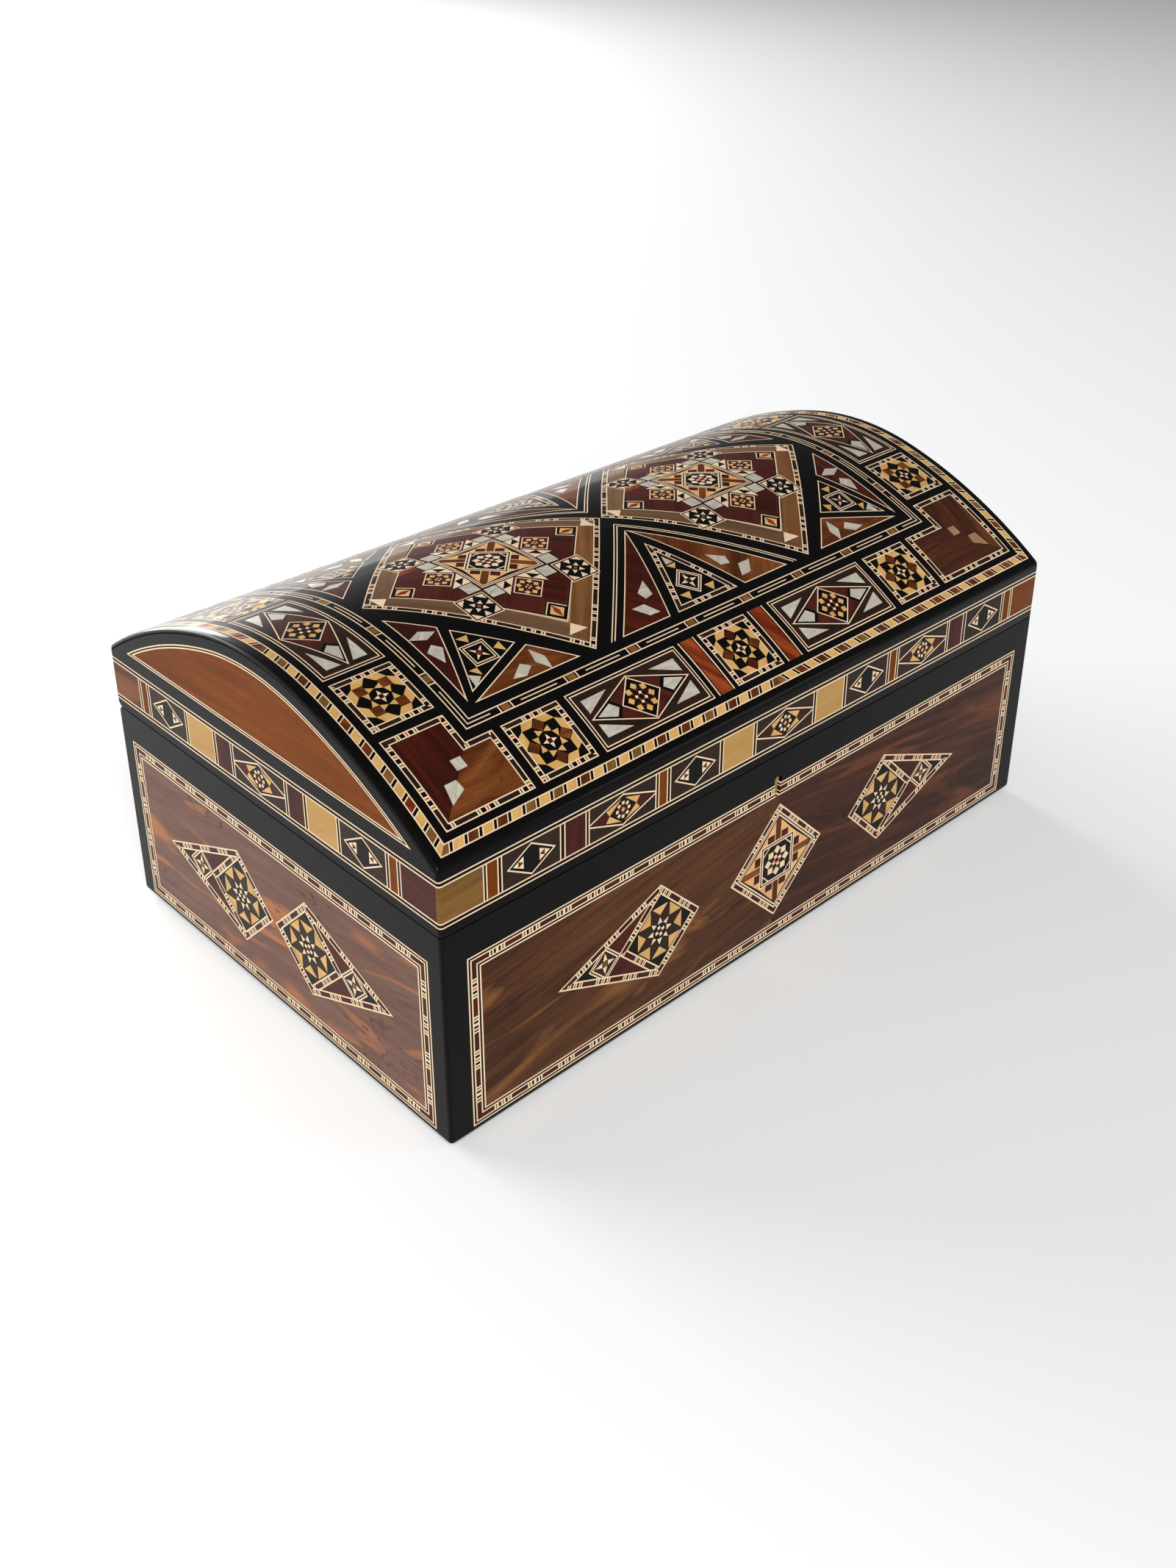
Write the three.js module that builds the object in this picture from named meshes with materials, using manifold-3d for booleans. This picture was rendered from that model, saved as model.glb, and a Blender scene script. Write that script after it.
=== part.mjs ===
// An inlaid jewelry box: a veneered wooden case with a domed, hinged lid and a small box lock.
// Millimetres, +Z up. The long side runs along X and the keyhole faces -Y.
// The origin is the middle of the underside.

import * as THREE from 'three';
import { mergeVertices } from 'three/addons/utils/BufferGeometryUtils.js';
import Module from 'manifold-3d';

const wasm = await Module();
wasm.setup();

// Overall sizes
const boxLength = 250;
const boxDepth = 154;
const seamHeight = 68.5;
const seamGap = 0.4;
const lidWallHeight = 19.7;
const domeRise = 28.4;
const crownRadius = 90;
const crownHalfAngle = 14.2;

// Boards, sheets and soft pieces
const wallThickness = 8;
const cornerRebate = 3;
const floorThickness = 6;
const lipHeight = 1.9;
const lipRadius = 1.7;
const domeBoardThickness = 5;
const veneerThickness = 1.2;
const feltThickness = 1;
const feltInset = 5;
const liningThickness = 1.5;
const liningSetback = 1.5;
const padThickness = 4;
const edgeRadius = 1;
const creaseRadius = 2.5;
const noseDrop = 2;

// Clearances: flat glued faces, curved faces, inlay in its pocket, metal let into wood
const glueLine = 0.05;
const curveGap = 0.3;
const inlayGap = 0.1;
const fittingGap = 0.15;

// Inlay on the four walls
const bandingWidth = 4.35;
const bandingBottom = 3.4;
const bandingDrop = 9.95;
const longWallMargin = 7.7;
const endWallMargin = 6.1;
const diamondMargin = 3.2;
const kiteMargin = 7.4;
const kiteToDiamond = 13.35;
const kiteToMiddle = 0.73;
const longWallTailMargin = 25.75;
const endWallTailMargin = 12;
const bandingLines = 1.5;
const bandingRow = 1.3;

// Marquetry: each cut piece stands between fine open joints
const jointDepth = 0.2;
const jointWidth = 0.24;
const motifBorder = 2.5;
const starBorder = 2.05;
const starWalnut = 4.7;

// Inlay on the dome, measured along the curve from the ridge
const inlayDepth = 0.8;
const domeBandingWidth = 2.9;
const domeBandingEndMargin = 2.9;
const domeBandingSideMargin = 2.8;
const domeFrameWidth = 5.7;
const domeFrameEndMargin = 30.6;
const domeFrameSideMargin = 30.2;
const starFieldGap = 0.3;
const tympanumInset = 4.6;
const tympanumFootRise = 1.3;

// Hinges
const hingeSetback = 1.8;
const hingeEndMargin = 50;
const hingeLength = 28;
const leafThickness = 0.9;
const leafWidth = 6.4;
const knuckleRadius = 1.7;
const knuckleGap = 0.2;
const knuckleCount = 5;
const barrelSides = 16;
const pinRadius = 0.85;
const pinClearance = 0.07;
const pinHeadHeight = 0.5;
const openAngle = 100;
const screwHoleRadius = 0.9;
const screwHeadRadius = 1.8;

// Lock
const keyholeX = -1.5;
const keyholeDrop = 7.2;
const keyholeHeight = 7.1;
const keyholeHeadRadius = 1.65;
const keyholeSlotWidth = 2.1;
const lockWidth = 31;
const lockHeight = 22;
const lockDepth = 5.4;
const lockPlate = 0.8;
const selvedgeThickness = 1.2;
const selvedgeLength = 42;
const keyPostRadius = 0.7;
const boltThickness = 3.2;
const boltHeight = 3.4;
const boltLength = 18;
const boltThrow = 4;
const boltNoseThickness = 1.5;
const boltNoseLength = 5;
const boltRise = 2.5;
const boltRestGap = 0.8;
const boltStudRadius = 0.7;
const boltStudInset = 6;
const talonWidth = 3.2;
const talonDepth = 0.8;
const runningGap = 0.2;
const staplePlateX = 9.6;
const stapleThickness = 1.8;
const stapleWidth = 3.3;
const stapleWall = 0.8;
const stapleSwingGap = 0.5;
const strikePlateLength = 30;
const springThickness = 0.4;
const springWidth = 2.4;
const springSpan = 13;

// Places worked out from the sizes above
const degrees = Math.PI / 180;
const halfLength = boxLength / 2;
const halfDepth = boxDepth / 2;
const lidFoot = seamHeight + seamGap;
const creaseHeight = lidFoot + lidWallHeight;
const boxHeight = creaseHeight + domeRise;
const lipTop = feltThickness + lipHeight;
const floorTop = feltThickness + floorThickness;
const wallFoot = floorTop + glueLine;
const coreHalfLength = halfLength - veneerThickness - glueLine;
const coreHalfDepth = halfDepth - veneerThickness - glueLine;
const innerHalfLength = coreHalfLength - wallThickness;
const innerHalfDepth = coreHalfDepth - wallThickness;
const noseFoot = creaseHeight - noseDrop;
const boardOuterOffset = veneerThickness + curveGap;
const boardInnerOffset = boardOuterOffset + domeBoardThickness;
const frameOffset = boardInnerOffset + curveGap;
const hingeY = halfDepth - hingeSetback;
const hingeZ = seamHeight + seamGap / 2;
const hingeX = halfLength - hingeEndMargin;
const cutterReach = 20;

// Finishes, one material for each mesh
const finishes = {
  ebony: { color: 0x16110e, roughness: 0.2, metalness: 0 },
  walnut: { color: 0x6b4023, roughness: 0.25, metalness: 0 },
  rosewood: { color: 0x5a3126, roughness: 0.25, metalness: 0 },
  orangewood: { color: 0x9a5a2a, roughness: 0.25, metalness: 0 },
  banding: { color: 0xb9a27a, roughness: 0.3, metalness: 0 },
  mosaic: { color: 0xcbb488, roughness: 0.3, metalness: 0 },
  carcass: { color: 0xa47c50, roughness: 0.6, metalness: 0 },
  velvet: { color: 0x6e0f18, roughness: 0.95, metalness: 0 },
  felt: { color: 0x2a1a16, roughness: 1, metalness: 0 },
  brass: { color: 0xb8923f, roughness: 0.3, metalness: 1 },
  steel: { color: 0x8d8f92, roughness: 0.35, metalness: 1 },
};

// A named mesh with its own material
function piece(name, geometry, finish) {
  const mesh = new THREE.Mesh(geometry, new THREE.MeshStandardMaterial(finishes[finish]));
  mesh.name = name;
  return mesh;
}

// A closed geometry as a solid that can be cut and joined
function toSolid(geometry) {
  const bare = geometry.clone();
  bare.deleteAttribute('normal');
  bare.deleteAttribute('uv');
  const merged = mergeVertices(bare, 1e-4);
  return new wasm.Manifold(new wasm.Mesh({
    numProp: 3,
    vertProperties: new Float32Array(merged.attributes.position.array),
    triVerts: new Uint32Array(merged.index.array),
  }));
}

// A solid as a flat-shaded geometry
function toGeometry(solid) {
  const data = solid.getMesh();
  const geometry = new THREE.BufferGeometry();
  geometry.setAttribute('position', new THREE.BufferAttribute(new Float32Array(data.vertProperties), 3));
  geometry.setIndex(new THREE.BufferAttribute(new Uint32Array(data.triVerts), 1));
  const flat = geometry.toNonIndexed();
  flat.computeVertexNormals();
  return flat;
}

function subtract(geometry, ...cutters) {
  return toGeometry(cutters.reduce((solid, cutter) => solid.subtract(toSolid(cutter)), toSolid(geometry)));
}

function join(first, ...others) {
  return toGeometry(others.reduce((solid, other) => solid.add(toSolid(other)), toSolid(first)));
}

function intersect(first, second) {
  return toGeometry(toSolid(first).intersect(toSolid(second)));
}

// Cuts standing pieces with a cutter given in the box's own frame
function carve(meshes, ...cutters) {
  for (const mesh of meshes) {
    mesh.updateWorldMatrix(true, false);
    const toLocal = mesh.matrixWorld.clone().invert();
    const local = cutters.map((cutter) => cutter.clone().applyMatrix4(toLocal));
    mesh.geometry = subtract(mesh.geometry, ...local);
  }
}

// A block from its lowest and highest corners
function block(x0, x1, y0, y1, z0, z1) {
  const geometry = new THREE.BoxGeometry(x1 - x0, y1 - y0, z1 - z0);
  return geometry.translate((x0 + x1) / 2, (y0 + y1) / 2, (z0 + z1) / 2);
}

// A flat outline, with holes, given thickness along Z
function plate(outline, thickness, holes = []) {
  const shape = new THREE.Shape(outline);
  shape.holes = holes.map((hole) => new THREE.Path(hole));
  return new THREE.ExtrudeGeometry(shape, { depth: thickness, bevelEnabled: false });
}

// Turns a geometry drawn with Y and Z as its first two axes so that its third runs along X
const sectionToWorld = new THREE.Matrix4().makeBasis(
  new THREE.Vector3(0, 1, 0), new THREE.Vector3(0, 0, 1), new THREE.Vector3(1, 0, 0));

// An outline of (y, z) points run along X
function alongX(outline, x0, x1) {
  return plate(outline, x1 - x0).applyMatrix4(sectionToWorld).translate(x0, 0, 0);
}

// A round bar along X with flats at its ends
function barAlongX(radius, sides, x0, x1, y, z) {
  const geometry = new THREE.CylinderGeometry(radius, radius, x1 - x0, sides);
  return geometry.rotateZ(Math.PI / 2).translate((x0 + x1) / 2, y, z);
}

// Joins sections of equal point count, one above the other along Z, into a closed solid
function loft(outlines, levels) {
  const count = outlines[0].length;
  const positions = [];
  outlines.forEach((outline, i) => outline.forEach((p) => positions.push(p.x, p.y, levels[i])));
  const faces = THREE.ShapeUtils.triangulateShape(outlines[0], []);
  const top = (outlines.length - 1) * count;
  const index = [];
  for (const [a, b, c] of faces) {
    index.push(a, c, b);
    index.push(top + a, top + b, top + c);
  }
  for (let ring = 0; ring + 1 < outlines.length; ring++) {
    for (let i = 0; i < count; i++) {
      const a = ring * count + i;
      const b = ring * count + (i + 1) % count;
      index.push(a, b, b + count, a, b + count, a + count);
    }
  }
  const geometry = new THREE.BufferGeometry();
  geometry.setAttribute('position', new THREE.Float32BufferAttribute(positions, 3));
  geometry.setIndex(index);
  return geometry;
}

// Outlines used by several pieces
const point = (x, y) => new THREE.Vector2(x, y);

function rectangle(halfWidth, low, high) {
  return [point(-halfWidth, low), point(halfWidth, low), point(halfWidth, high), point(-halfWidth, high)];
}

function roundedRectangle(halfX, halfY, radius, steps) {
  const outline = [];
  for (const [sx, sy, start] of [[1, 1, 0], [-1, 1, 90], [-1, -1, 180], [1, -1, 270]]) {
    for (let i = 0; i <= steps; i++) {
      const angle = (start + 90 * i / steps) * degrees;
      outline.push(point(
        sx * (halfX - radius) + radius * Math.cos(angle), sy * (halfY - radius) + radius * Math.sin(angle)));
    }
  }
  return outline;
}

// Moves each side of a convex, anticlockwise outline outwards by a distance
function grow(outline, distance) {
  const count = outline.length;
  return outline.map((corner, i) => {
    const before = corner.clone().sub(outline[(i + count - 1) % count]).normalize();
    const after = outline[(i + 1) % count].clone().sub(corner).normalize();
    const mitre = distance / (1 + before.dot(after));
    return point(corner.x + (before.y + after.y) * mitre, corner.y - (before.x + after.x) * mitre);
  });
}

// The dome's section: a crown arc and two flatter flank arcs tangent to it
const crownCentreZ = boxHeight - crownRadius;
const crownTurn = crownHalfAngle * degrees;
const shoulderY = crownRadius * Math.sin(crownTurn);
const shoulderZ = crownCentreZ + crownRadius * Math.cos(crownTurn);
const flankRun = halfDepth - shoulderY;
const flankFall = creaseHeight - shoulderZ;
const flankRadius = -(flankRun ** 2 + flankFall ** 2)
  / (2 * (flankRun * Math.sin(crownTurn) + flankFall * Math.cos(crownTurn)));
const flankCentreY = shoulderY - flankRadius * Math.sin(crownTurn);
const flankCentreZ = shoulderZ - flankRadius * Math.cos(crownTurn);

// A point of the section (y, z), at an angle from upright and a depth under the surface
function archPoint(angle, offset) {
  const side = Math.sign(angle);
  if (Math.abs(angle) <= crownTurn) {
    const radius = crownRadius - offset;
    return point(radius * Math.sin(angle), crownCentreZ + radius * Math.cos(angle));
  }
  const radius = flankRadius - offset;
  return point(
    side * flankCentreY + radius * Math.sin(angle), flankCentreZ + radius * Math.cos(angle));
}

// The angle at which the section, at a depth under the surface, reaches y
function archAngle(y, offset) {
  const reach = Math.abs(y);
  if (reach <= (crownRadius - offset) * Math.sin(crownTurn)) return Math.asin(y / (crownRadius - offset));
  return Math.sign(y) * Math.asin((reach - flankCentreY) / (flankRadius - offset));
}

// The angle at a distance along the curve from the ridge
function archAngleAlong(distance) {
  const crownArc = crownRadius * crownTurn;
  const along = Math.abs(distance);
  if (along <= crownArc) return distance / crownRadius;
  return Math.sign(distance) * (crownTurn + (along - crownArc) / flankRadius);
}

const creaseAngle = archAngle(halfDepth, 0);
const creaseTurn = Math.PI / 2 - creaseAngle;
const flankEnd = creaseAngle - creaseRadius * Math.tan(creaseTurn / 2) / flankRadius;
const arcHalfLength = crownRadius * crownTurn + flankRadius * (creaseAngle - crownTurn);

// Angles of the facets, shared by every layer of the dome so that the layers stay parallel
const crownSteps = 4;
const flankSteps = 6;
const stations = [];
for (let i = -crownSteps; i <= crownSteps; i++) stations.push(crownTurn * i / crownSteps);
for (let i = 1; i <= flankSteps; i++) {
  const angle = crownTurn + (flankEnd - crownTurn) * i / flankSteps;
  stations.push(angle);
  stations.unshift(-angle);
}

// The section at a depth under the surface, from one y to a higher one
function archPoints(offset, fromY, toY) {
  const first = archAngle(fromY, offset);
  const last = archAngle(toY, offset);
  const margin = 1e-3;
  const between = stations.filter((angle) => angle > first + margin && angle < last - margin);
  return [first, ...between, last].map((angle) => archPoint(angle, offset));
}

// A layer of the dome between two depths, as a (y, z) outline
function archLayer(topOffset, underOffset, halfWidth) {
  const top = archPoints(topOffset, -halfWidth, halfWidth).reverse();
  return [...archPoints(underOffset, -halfWidth, halfWidth), ...top];
}

// The space under the dome down to a level, as a (y, z) outline
function underArch(offset, halfWidth, foot) {
  const arch = archPoints(offset, -halfWidth, halfWidth).reverse();
  return [point(-halfWidth, foot), point(halfWidth, foot), ...arch];
}

// The rounded turn from the upright face into the dome, at a depth under the surface
function creasePoints(offset, radius) {
  const steps = 4;
  const y = halfDepth - offset;
  const angle = archAngle(y, offset);
  const turn = Math.PI / 2 - angle;
  const corner = archPoint(angle, offset);
  const centreZ = corner.y - radius * Math.tan(turn / 2);
  const points = [];
  for (let i = 0; i <= steps; i++) {
    const lift = turn * i / steps;
    points.push(point(y - radius + radius * Math.cos(lift), centreZ + radius * Math.sin(lift)));
  }
  return points;
}

// The dome sheet's outline from one foot of its nose, over the ridge, to the other
function domeSheetEdge(offset, radius) {
  const right = [point(halfDepth - offset, noseFoot), ...creasePoints(offset, radius)];
  const over = stations.slice(1, -1).map((angle) => archPoint(angle, offset)).reverse();
  const left = right.map((p) => point(-p.x, p.y)).reverse();
  return [...right, ...over, ...left];
}

// Base: the floor board, with a rounded lip that shows under the veneer, and four walls
function floorBoard() {
  const steps = 4;
  const outlines = [];
  const levels = [];
  for (let i = 0; i <= steps; i++) {
    const angle = 90 * degrees * i / steps;
    const inset = lipRadius * (1 - Math.sin(angle));
    outlines.push(roundedRectangle(halfLength - inset, halfDepth - inset, edgeRadius, 3));
    levels.push(feltThickness + lipRadius * (1 - Math.cos(angle)));
  }
  outlines.push(roundedRectangle(halfLength, halfDepth, edgeRadius, 3));
  levels.push(lipTop);
  const tongue = block(
    -coreHalfLength, coreHalfLength, -coreHalfDepth, coreHalfDepth, feltThickness, floorTop);
  return piece('base_floor_board', join(loft(outlines, levels), tongue), 'carcass');
}

function undersideFelt() {
  const outline = roundedRectangle(halfLength - feltInset, halfDepth - feltInset, feltInset, 4);
  return piece('underside_felt', plate(outline, feltThickness - glueLine), 'felt');
}

// A long wall with a rebate at each end for the end walls
function longWall(name, side) {
  const outer = coreHalfDepth;
  const inner = outer - wallThickness;
  const rebated = inner + cornerRebate;
  const shoulder = innerHalfLength - glueLine;
  const outline = [
    point(-coreHalfLength, -outer), point(coreHalfLength, -outer), point(coreHalfLength, -rebated),
    point(shoulder, -rebated), point(shoulder, -inner), point(-shoulder, -inner),
    point(-shoulder, -rebated), point(-coreHalfLength, -rebated),
  ];
  const mesh = piece(name, plate(outline, seamHeight - wallFoot), 'carcass');
  mesh.position.z = wallFoot;
  mesh.rotation.z = side > 0 ? Math.PI : 0;
  return mesh;
}

const endBoardHalfDepth = innerHalfDepth + cornerRebate - glueLine;

function endWall(name, side) {
  const wall = block(
    -wallThickness / 2, wallThickness / 2, -endBoardHalfDepth, endBoardHalfDepth, wallFoot, seamHeight);
  const mesh = piece(name, wall, 'carcass');
  mesh.position.x = side * (coreHalfLength - wallThickness / 2);
  return mesh;
}

// A frame whose X runs along a wall, Y up and Z outwards from the back of the veneer
function wallFrame(yaw, distance) {
  const turned = new THREE.Group();
  turned.rotation.z = yaw;
  const standing = new THREE.Group();
  standing.rotation.x = Math.PI / 2;
  standing.position.y = -distance;
  turned.add(standing);
  return { turned, standing };
}

// A long-wall sheet with rounded upright edges, which covers the ends of its neighbours
function longSheet(low, high) {
  const radius = Math.min(edgeRadius, veneerThickness);
  const steps = 3;
  const outline = [point(-halfLength, 0), point(halfLength, 0)];
  for (let i = 0; i <= steps; i++) {
    const angle = 90 * degrees * i / steps;
    outline.push(point(
      halfLength - radius + radius * Math.cos(angle), veneerThickness - radius + radius * Math.sin(angle)));
  }
  const mirrored = outline.slice(2).map((p) => point(-p.x, p.y)).reverse();
  const sheet = plate([...outline, ...mirrored], high - low);
  return sheet.rotateX(Math.PI / 2).translate(0, high, 0);
}

const endSheetHalfWidth = halfDepth - veneerThickness - glueLine;
const bandingTop = seamHeight - bandingDrop;
const motifHeight = (bandingBottom + bandingTop) / 2;
const fieldHalfHeight = (bandingTop - bandingBottom) / 2 - bandingWidth;
const diamondHalf = fieldHalfHeight - diamondMargin;
const kiteHalf = fieldHalfHeight - kiteMargin;

// The motifs: a square on its corner, and a kite with a square head and a long tail that looks outwards
function diamond() {
  return [
    point(-diamondHalf, motifHeight), point(0, motifHeight - diamondHalf),
    point(diamondHalf, motifHeight), point(0, motifHeight + diamondHalf),
  ];
}

function kite(way, nose, tip) {
  const x = way * (nose + kiteHalf);
  return [
    point(way * nose, motifHeight), point(x, motifHeight - way * kiteHalf),
    point(way * tip, motifHeight), point(x, motifHeight + way * kiteHalf),
  ];
}

// Marquetry drawings: a motif's stones are outlines round its middle, as shares of its half diagonal
function placed(shape, size, x, y, turn = 0) {
  const origin = point(0, 0);
  return shape.map((p) => p.clone().multiplyScalar(size).rotateAround(origin, turn).add(point(x, y)));
}

function around(shapes, count) {
  const turns = Array.from({ length: count }, (_, i) => 360 * degrees * i / count);
  return turns.flatMap((turn) => shapes.map((shape) => placed(shape, 1, 0, 0, turn)));
}

const flipped = (shape) => shape.map((p) => point(p.x, -p.y)).reverse();
const onCorner = (half, x = 0, y = 0) => [
  point(x + half, y), point(x, y + half), point(x - half, y), point(x, y - half)];
const upright = (half, x = 0, y = 0) => [
  point(x + half, y - half), point(x + half, y + half), point(x - half, y + half), point(x - half, y - half)];

// Strips mitred round an outline
function border(outline, width) {
  const inner = grow(outline, -width);
  return outline.map((corner, i) => {
    const next = (i + 1) % outline.length;
    return [corner, outline[next], inner[next], inner[i]];
  });
}

// Eight rays, straight and diagonal in turn, between which the dark star is left
const starRays = around([
  [point(0, 0.344), point(0.19, 0.537), point(-0.19, 0.537)],
  [point(0.234, 0.231), point(0.524, 0.234), point(0.237, 0.521)],
], 4);

// A bar between two squares fills each corner of the centre diamond
const barredCorners = around([
  [point(-0.057, 0.375), point(0.057, 0.375), point(0.057, 0.71), point(-0.057, 0.71)],
  upright(0.06, 0.15, 0.435),
  upright(0.06, -0.15, 0.435),
], 4);

// The kite lies with its head round the origin and its tail along X
function kiteStones(tail) {
  const head = placed(onCorner(1), kiteHalf, 0, 0);
  const slope = Math.hypot(kiteHalf, tail);
  const meetX = motifBorder * slope / (tail - kiteHalf);
  const meet = point(meetX, kiteHalf - meetX);
  const innerTip = point(tail - motifBorder * slope / kiteHalf, 0);
  const tailStrip = [point(tail, 0), point(0, kiteHalf), meet, innerTip];
  const eyeX = 1.33 * kiteHalf;
  const eyeStart = eyeX - 0.38 * kiteHalf;
  const wedgeX = (tail * (kiteHalf + eyeStart) - motifBorder * slope) / (kiteHalf + tail);
  const wedge = [point(kiteHalf, 0), point(wedgeX, wedgeX - eyeStart), meet];
  return [
    ...border(head, motifBorder),
    ...starRays.map((ray) => placed(ray, kiteHalf, 0, 0)),
    placed(onCorner(0.25), kiteHalf, eyeX, 0),
    tailStrip, flipped(tailStrip), wedge, flipped(wedge),
  ];
}

function diamondStones() {
  const ring = around([onCorner(0.068, 0.192, 0)], 8);
  const inside = [...border(upright(0.37), 0.07), ...ring, ...barredCorners];
  return [
    ...border(onCorner(diamondHalf), motifBorder),
    ...inside.map((stone) => placed(stone, diamondHalf, 0, 0)),
  ];
}

// A plaque: one ground with its stones standing on it
function mosaic(outline, stones) {
  const groundTop = veneerThickness - jointDepth;
  const raised = stones.map((stone) => {
    return plate(grow(stone, -jointWidth / 2), jointDepth + glueLine).translate(0, 0, groundTop - glueLine);
  });
  return join(plate(outline, groundTop), ...raised);
}

// A banding: a row of blocks between two sets of fine lines
function banding(outer, inner) {
  const grooves = [bandingLines, bandingLines + bandingRow].map((inset) => {
    const outside = grow(outer, -inset + jointWidth / 2);
    const inside = grow(outer, -inset - jointWidth / 2);
    return plate(outside, jointDepth + 1, [inside]).translate(0, 0, veneerThickness - jointDepth);
  });
  return subtract(plate(outer, veneerThickness, [inner]), ...grooves);
}

// One wall's ebony surround, banding, field and motifs
function inlaidWall(face, yaw, distance, halfWidth, margin, isLong, fieldFinish, motifs) {
  const { turned, standing } = wallFrame(yaw, distance);
  const bandHalfWidth = halfWidth - margin;
  const bandOuter = rectangle(bandHalfWidth, bandingBottom, bandingTop);
  const bandInner = rectangle(
    bandHalfWidth - bandingWidth, bandingBottom + bandingWidth, bandingTop - bandingWidth);
  const sheetFoot = lipTop + glueLine;
  const blank = isLong
    ? longSheet(sheetFoot, seamHeight)
    : plate(rectangle(endSheetHalfWidth, sheetFoot, seamHeight), veneerThickness);
  const window = plate(grow(bandOuter, inlayGap), veneerThickness + 2).translate(0, 0, -1);
  const pockets = motifs.map((motif) => grow(motif.outline, inlayGap));
  const field = plate(grow(bandInner, -inlayGap), veneerThickness, pockets);
  standing.add(piece(face + '_ebony_surround', subtract(blank, window), 'ebony'));
  standing.add(piece(face + '_banding', banding(bandOuter, bandInner), 'banding'));
  standing.add(piece(face + '_field', field, fieldFinish));
  for (const motif of motifs) {
    standing.add(piece(face + '_' + motif.name, mosaic(motif.outline, motif.stones), 'mosaic'));
  }
  return turned;
}

function inlaidWalls() {
  const longTip = halfLength - longWallMargin - bandingWidth - longWallTailMargin;
  const endTip = halfDepth - endWallMargin - bandingWidth - endWallTailMargin;
  const kiteMotif = (way, nose, tip) => {
    const headX = way * (nose + kiteHalf);
    const turn = way < 0 ? 180 * degrees : 0;
    const drawn = kiteStones(tip - nose - kiteHalf);
    return {
      name: way < 0 ? 'left_kite' : 'right_kite',
      outline: kite(way, nose, tip),
      stones: drawn.map((stone) => placed(stone, 1, headX, motifHeight, turn)),
    };
  };
  const centreMotif = {
    name: 'centre_diamond',
    outline: diamond(),
    stones: diamondStones().map((stone) => placed(stone, 1, 0, motifHeight)),
  };
  const longKites = [-1, 1].map((way) => kiteMotif(way, diamondHalf + kiteToDiamond, longTip));
  const longMotifs = [...longKites, centreMotif];
  const endMotifs = [-1, 1].map((way) => kiteMotif(way, kiteToMiddle, endTip));
  const longDistance = halfDepth - veneerThickness;
  const endDistance = halfLength - veneerThickness;
  return [
    inlaidWall('front', 0, longDistance, halfLength, longWallMargin, true, 'walnut', longMotifs),
    inlaidWall('back', Math.PI, longDistance, halfLength, longWallMargin, true, 'walnut', longMotifs),
    inlaidWall('left', -Math.PI / 2, endDistance, halfDepth, endWallMargin, false, 'rosewood', endMotifs),
    inlaidWall('right', Math.PI / 2, endDistance, halfDepth, endWallMargin, false, 'rosewood', endMotifs),
  ];
}

// Soft linings of the base
const liningHalfLength = innerHalfLength - glueLine;
const liningHalfDepth = innerHalfDepth - glueLine;

function floorPad() {
  const gap = curveGap;
  const outline = roundedRectangle(
    liningHalfLength - liningThickness - gap, liningHalfDepth - liningThickness - gap, 2, 3);
  const mesh = piece('floor_pad', plate(outline, padThickness), 'velvet');
  mesh.position.z = wallFoot;
  return mesh;
}

function ringAround(halfX, halfY, thickness, low, high) {
  const outer = [point(-halfX, -halfY), point(halfX, -halfY), point(halfX, halfY), point(-halfX, halfY)];
  return plate(outer, high - low, [grow(outer, -thickness)]).translate(0, 0, low);
}

function baseLining() {
  const ring = ringAround(
    liningHalfLength, liningHalfDepth, liningThickness, wallFoot, seamHeight - liningSetback);
  return piece('base_wall_lining', ring, 'velvet');
}

// Lid carcass: two rails, two arched end boards and the curved dome board laid over them
function lidRail(name, side) {
  const top = archPoints(frameOffset, -coreHalfDepth, -innerHalfDepth);
  const outline = [point(-coreHalfDepth, lidFoot), point(-innerHalfDepth, lidFoot), ...top.reverse()];
  const rail = alongX(outline, -coreHalfLength, coreHalfLength);
  const rebated = innerHalfDepth + cornerRebate;
  const shoulder = innerHalfLength - glueLine;
  const reach = cutterReach;
  const rebates = [-1, 1].map((end) => block(
    end > 0 ? shoulder : -shoulder - reach, end > 0 ? shoulder + reach : -shoulder,
    -rebated, -innerHalfDepth + 1, lidFoot - 1, boxHeight));
  const mesh = piece(name, subtract(rail, ...rebates), 'carcass');
  mesh.rotation.z = side > 0 ? Math.PI : 0;
  return mesh;
}

function lidEndBoard(name, side) {
  const outline = underArch(frameOffset, endBoardHalfDepth, lidFoot);
  const x = side * (coreHalfLength - wallThickness / 2);
  return piece(name, alongX(outline, x - wallThickness / 2, x + wallThickness / 2), 'carcass');
}

function domeBoard() {
  const outline = archLayer(boardOuterOffset, boardInnerOffset, coreHalfDepth - curveGap);
  return piece('lid_dome_board', alongX(outline, -coreHalfLength, coreHalfLength), 'carcass');
}

// The dome's inlays, drawn as (x, distance along the curve) outlines and seen from above
function onDome(outline, steps) {
  const plan = [];
  outline.forEach((from, i) => {
    const to = outline[(i + 1) % outline.length];
    for (let k = 0; k < steps; k++) {
      const x = from.x + (to.x - from.x) * k / steps;
      const along = from.y + (to.y - from.y) * k / steps;
      plan.push(point(x, archPoint(archAngleAlong(along), 0).x));
    }
  });
  return plan;
}

function domePrism(outline, holes, steps) {
  const plan = onDome(outline, steps);
  const planHoles = holes.map((hole) => onDome(hole, steps));
  return plate(plan, boxHeight + cutterReach - noseFoot, planHoles).translate(0, 0, noseFoot);
}

function domeLayer(top, under) {
  return alongX(archLayer(top, under, halfDepth - 1), -halfLength, halfLength);
}

function domeInlay(name, outline, holes) {
  const layer = domeLayer(0, inlayDepth - curveGap);
  return piece(name, intersect(domePrism(outline, holes, 1), layer), 'banding');
}

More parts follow.
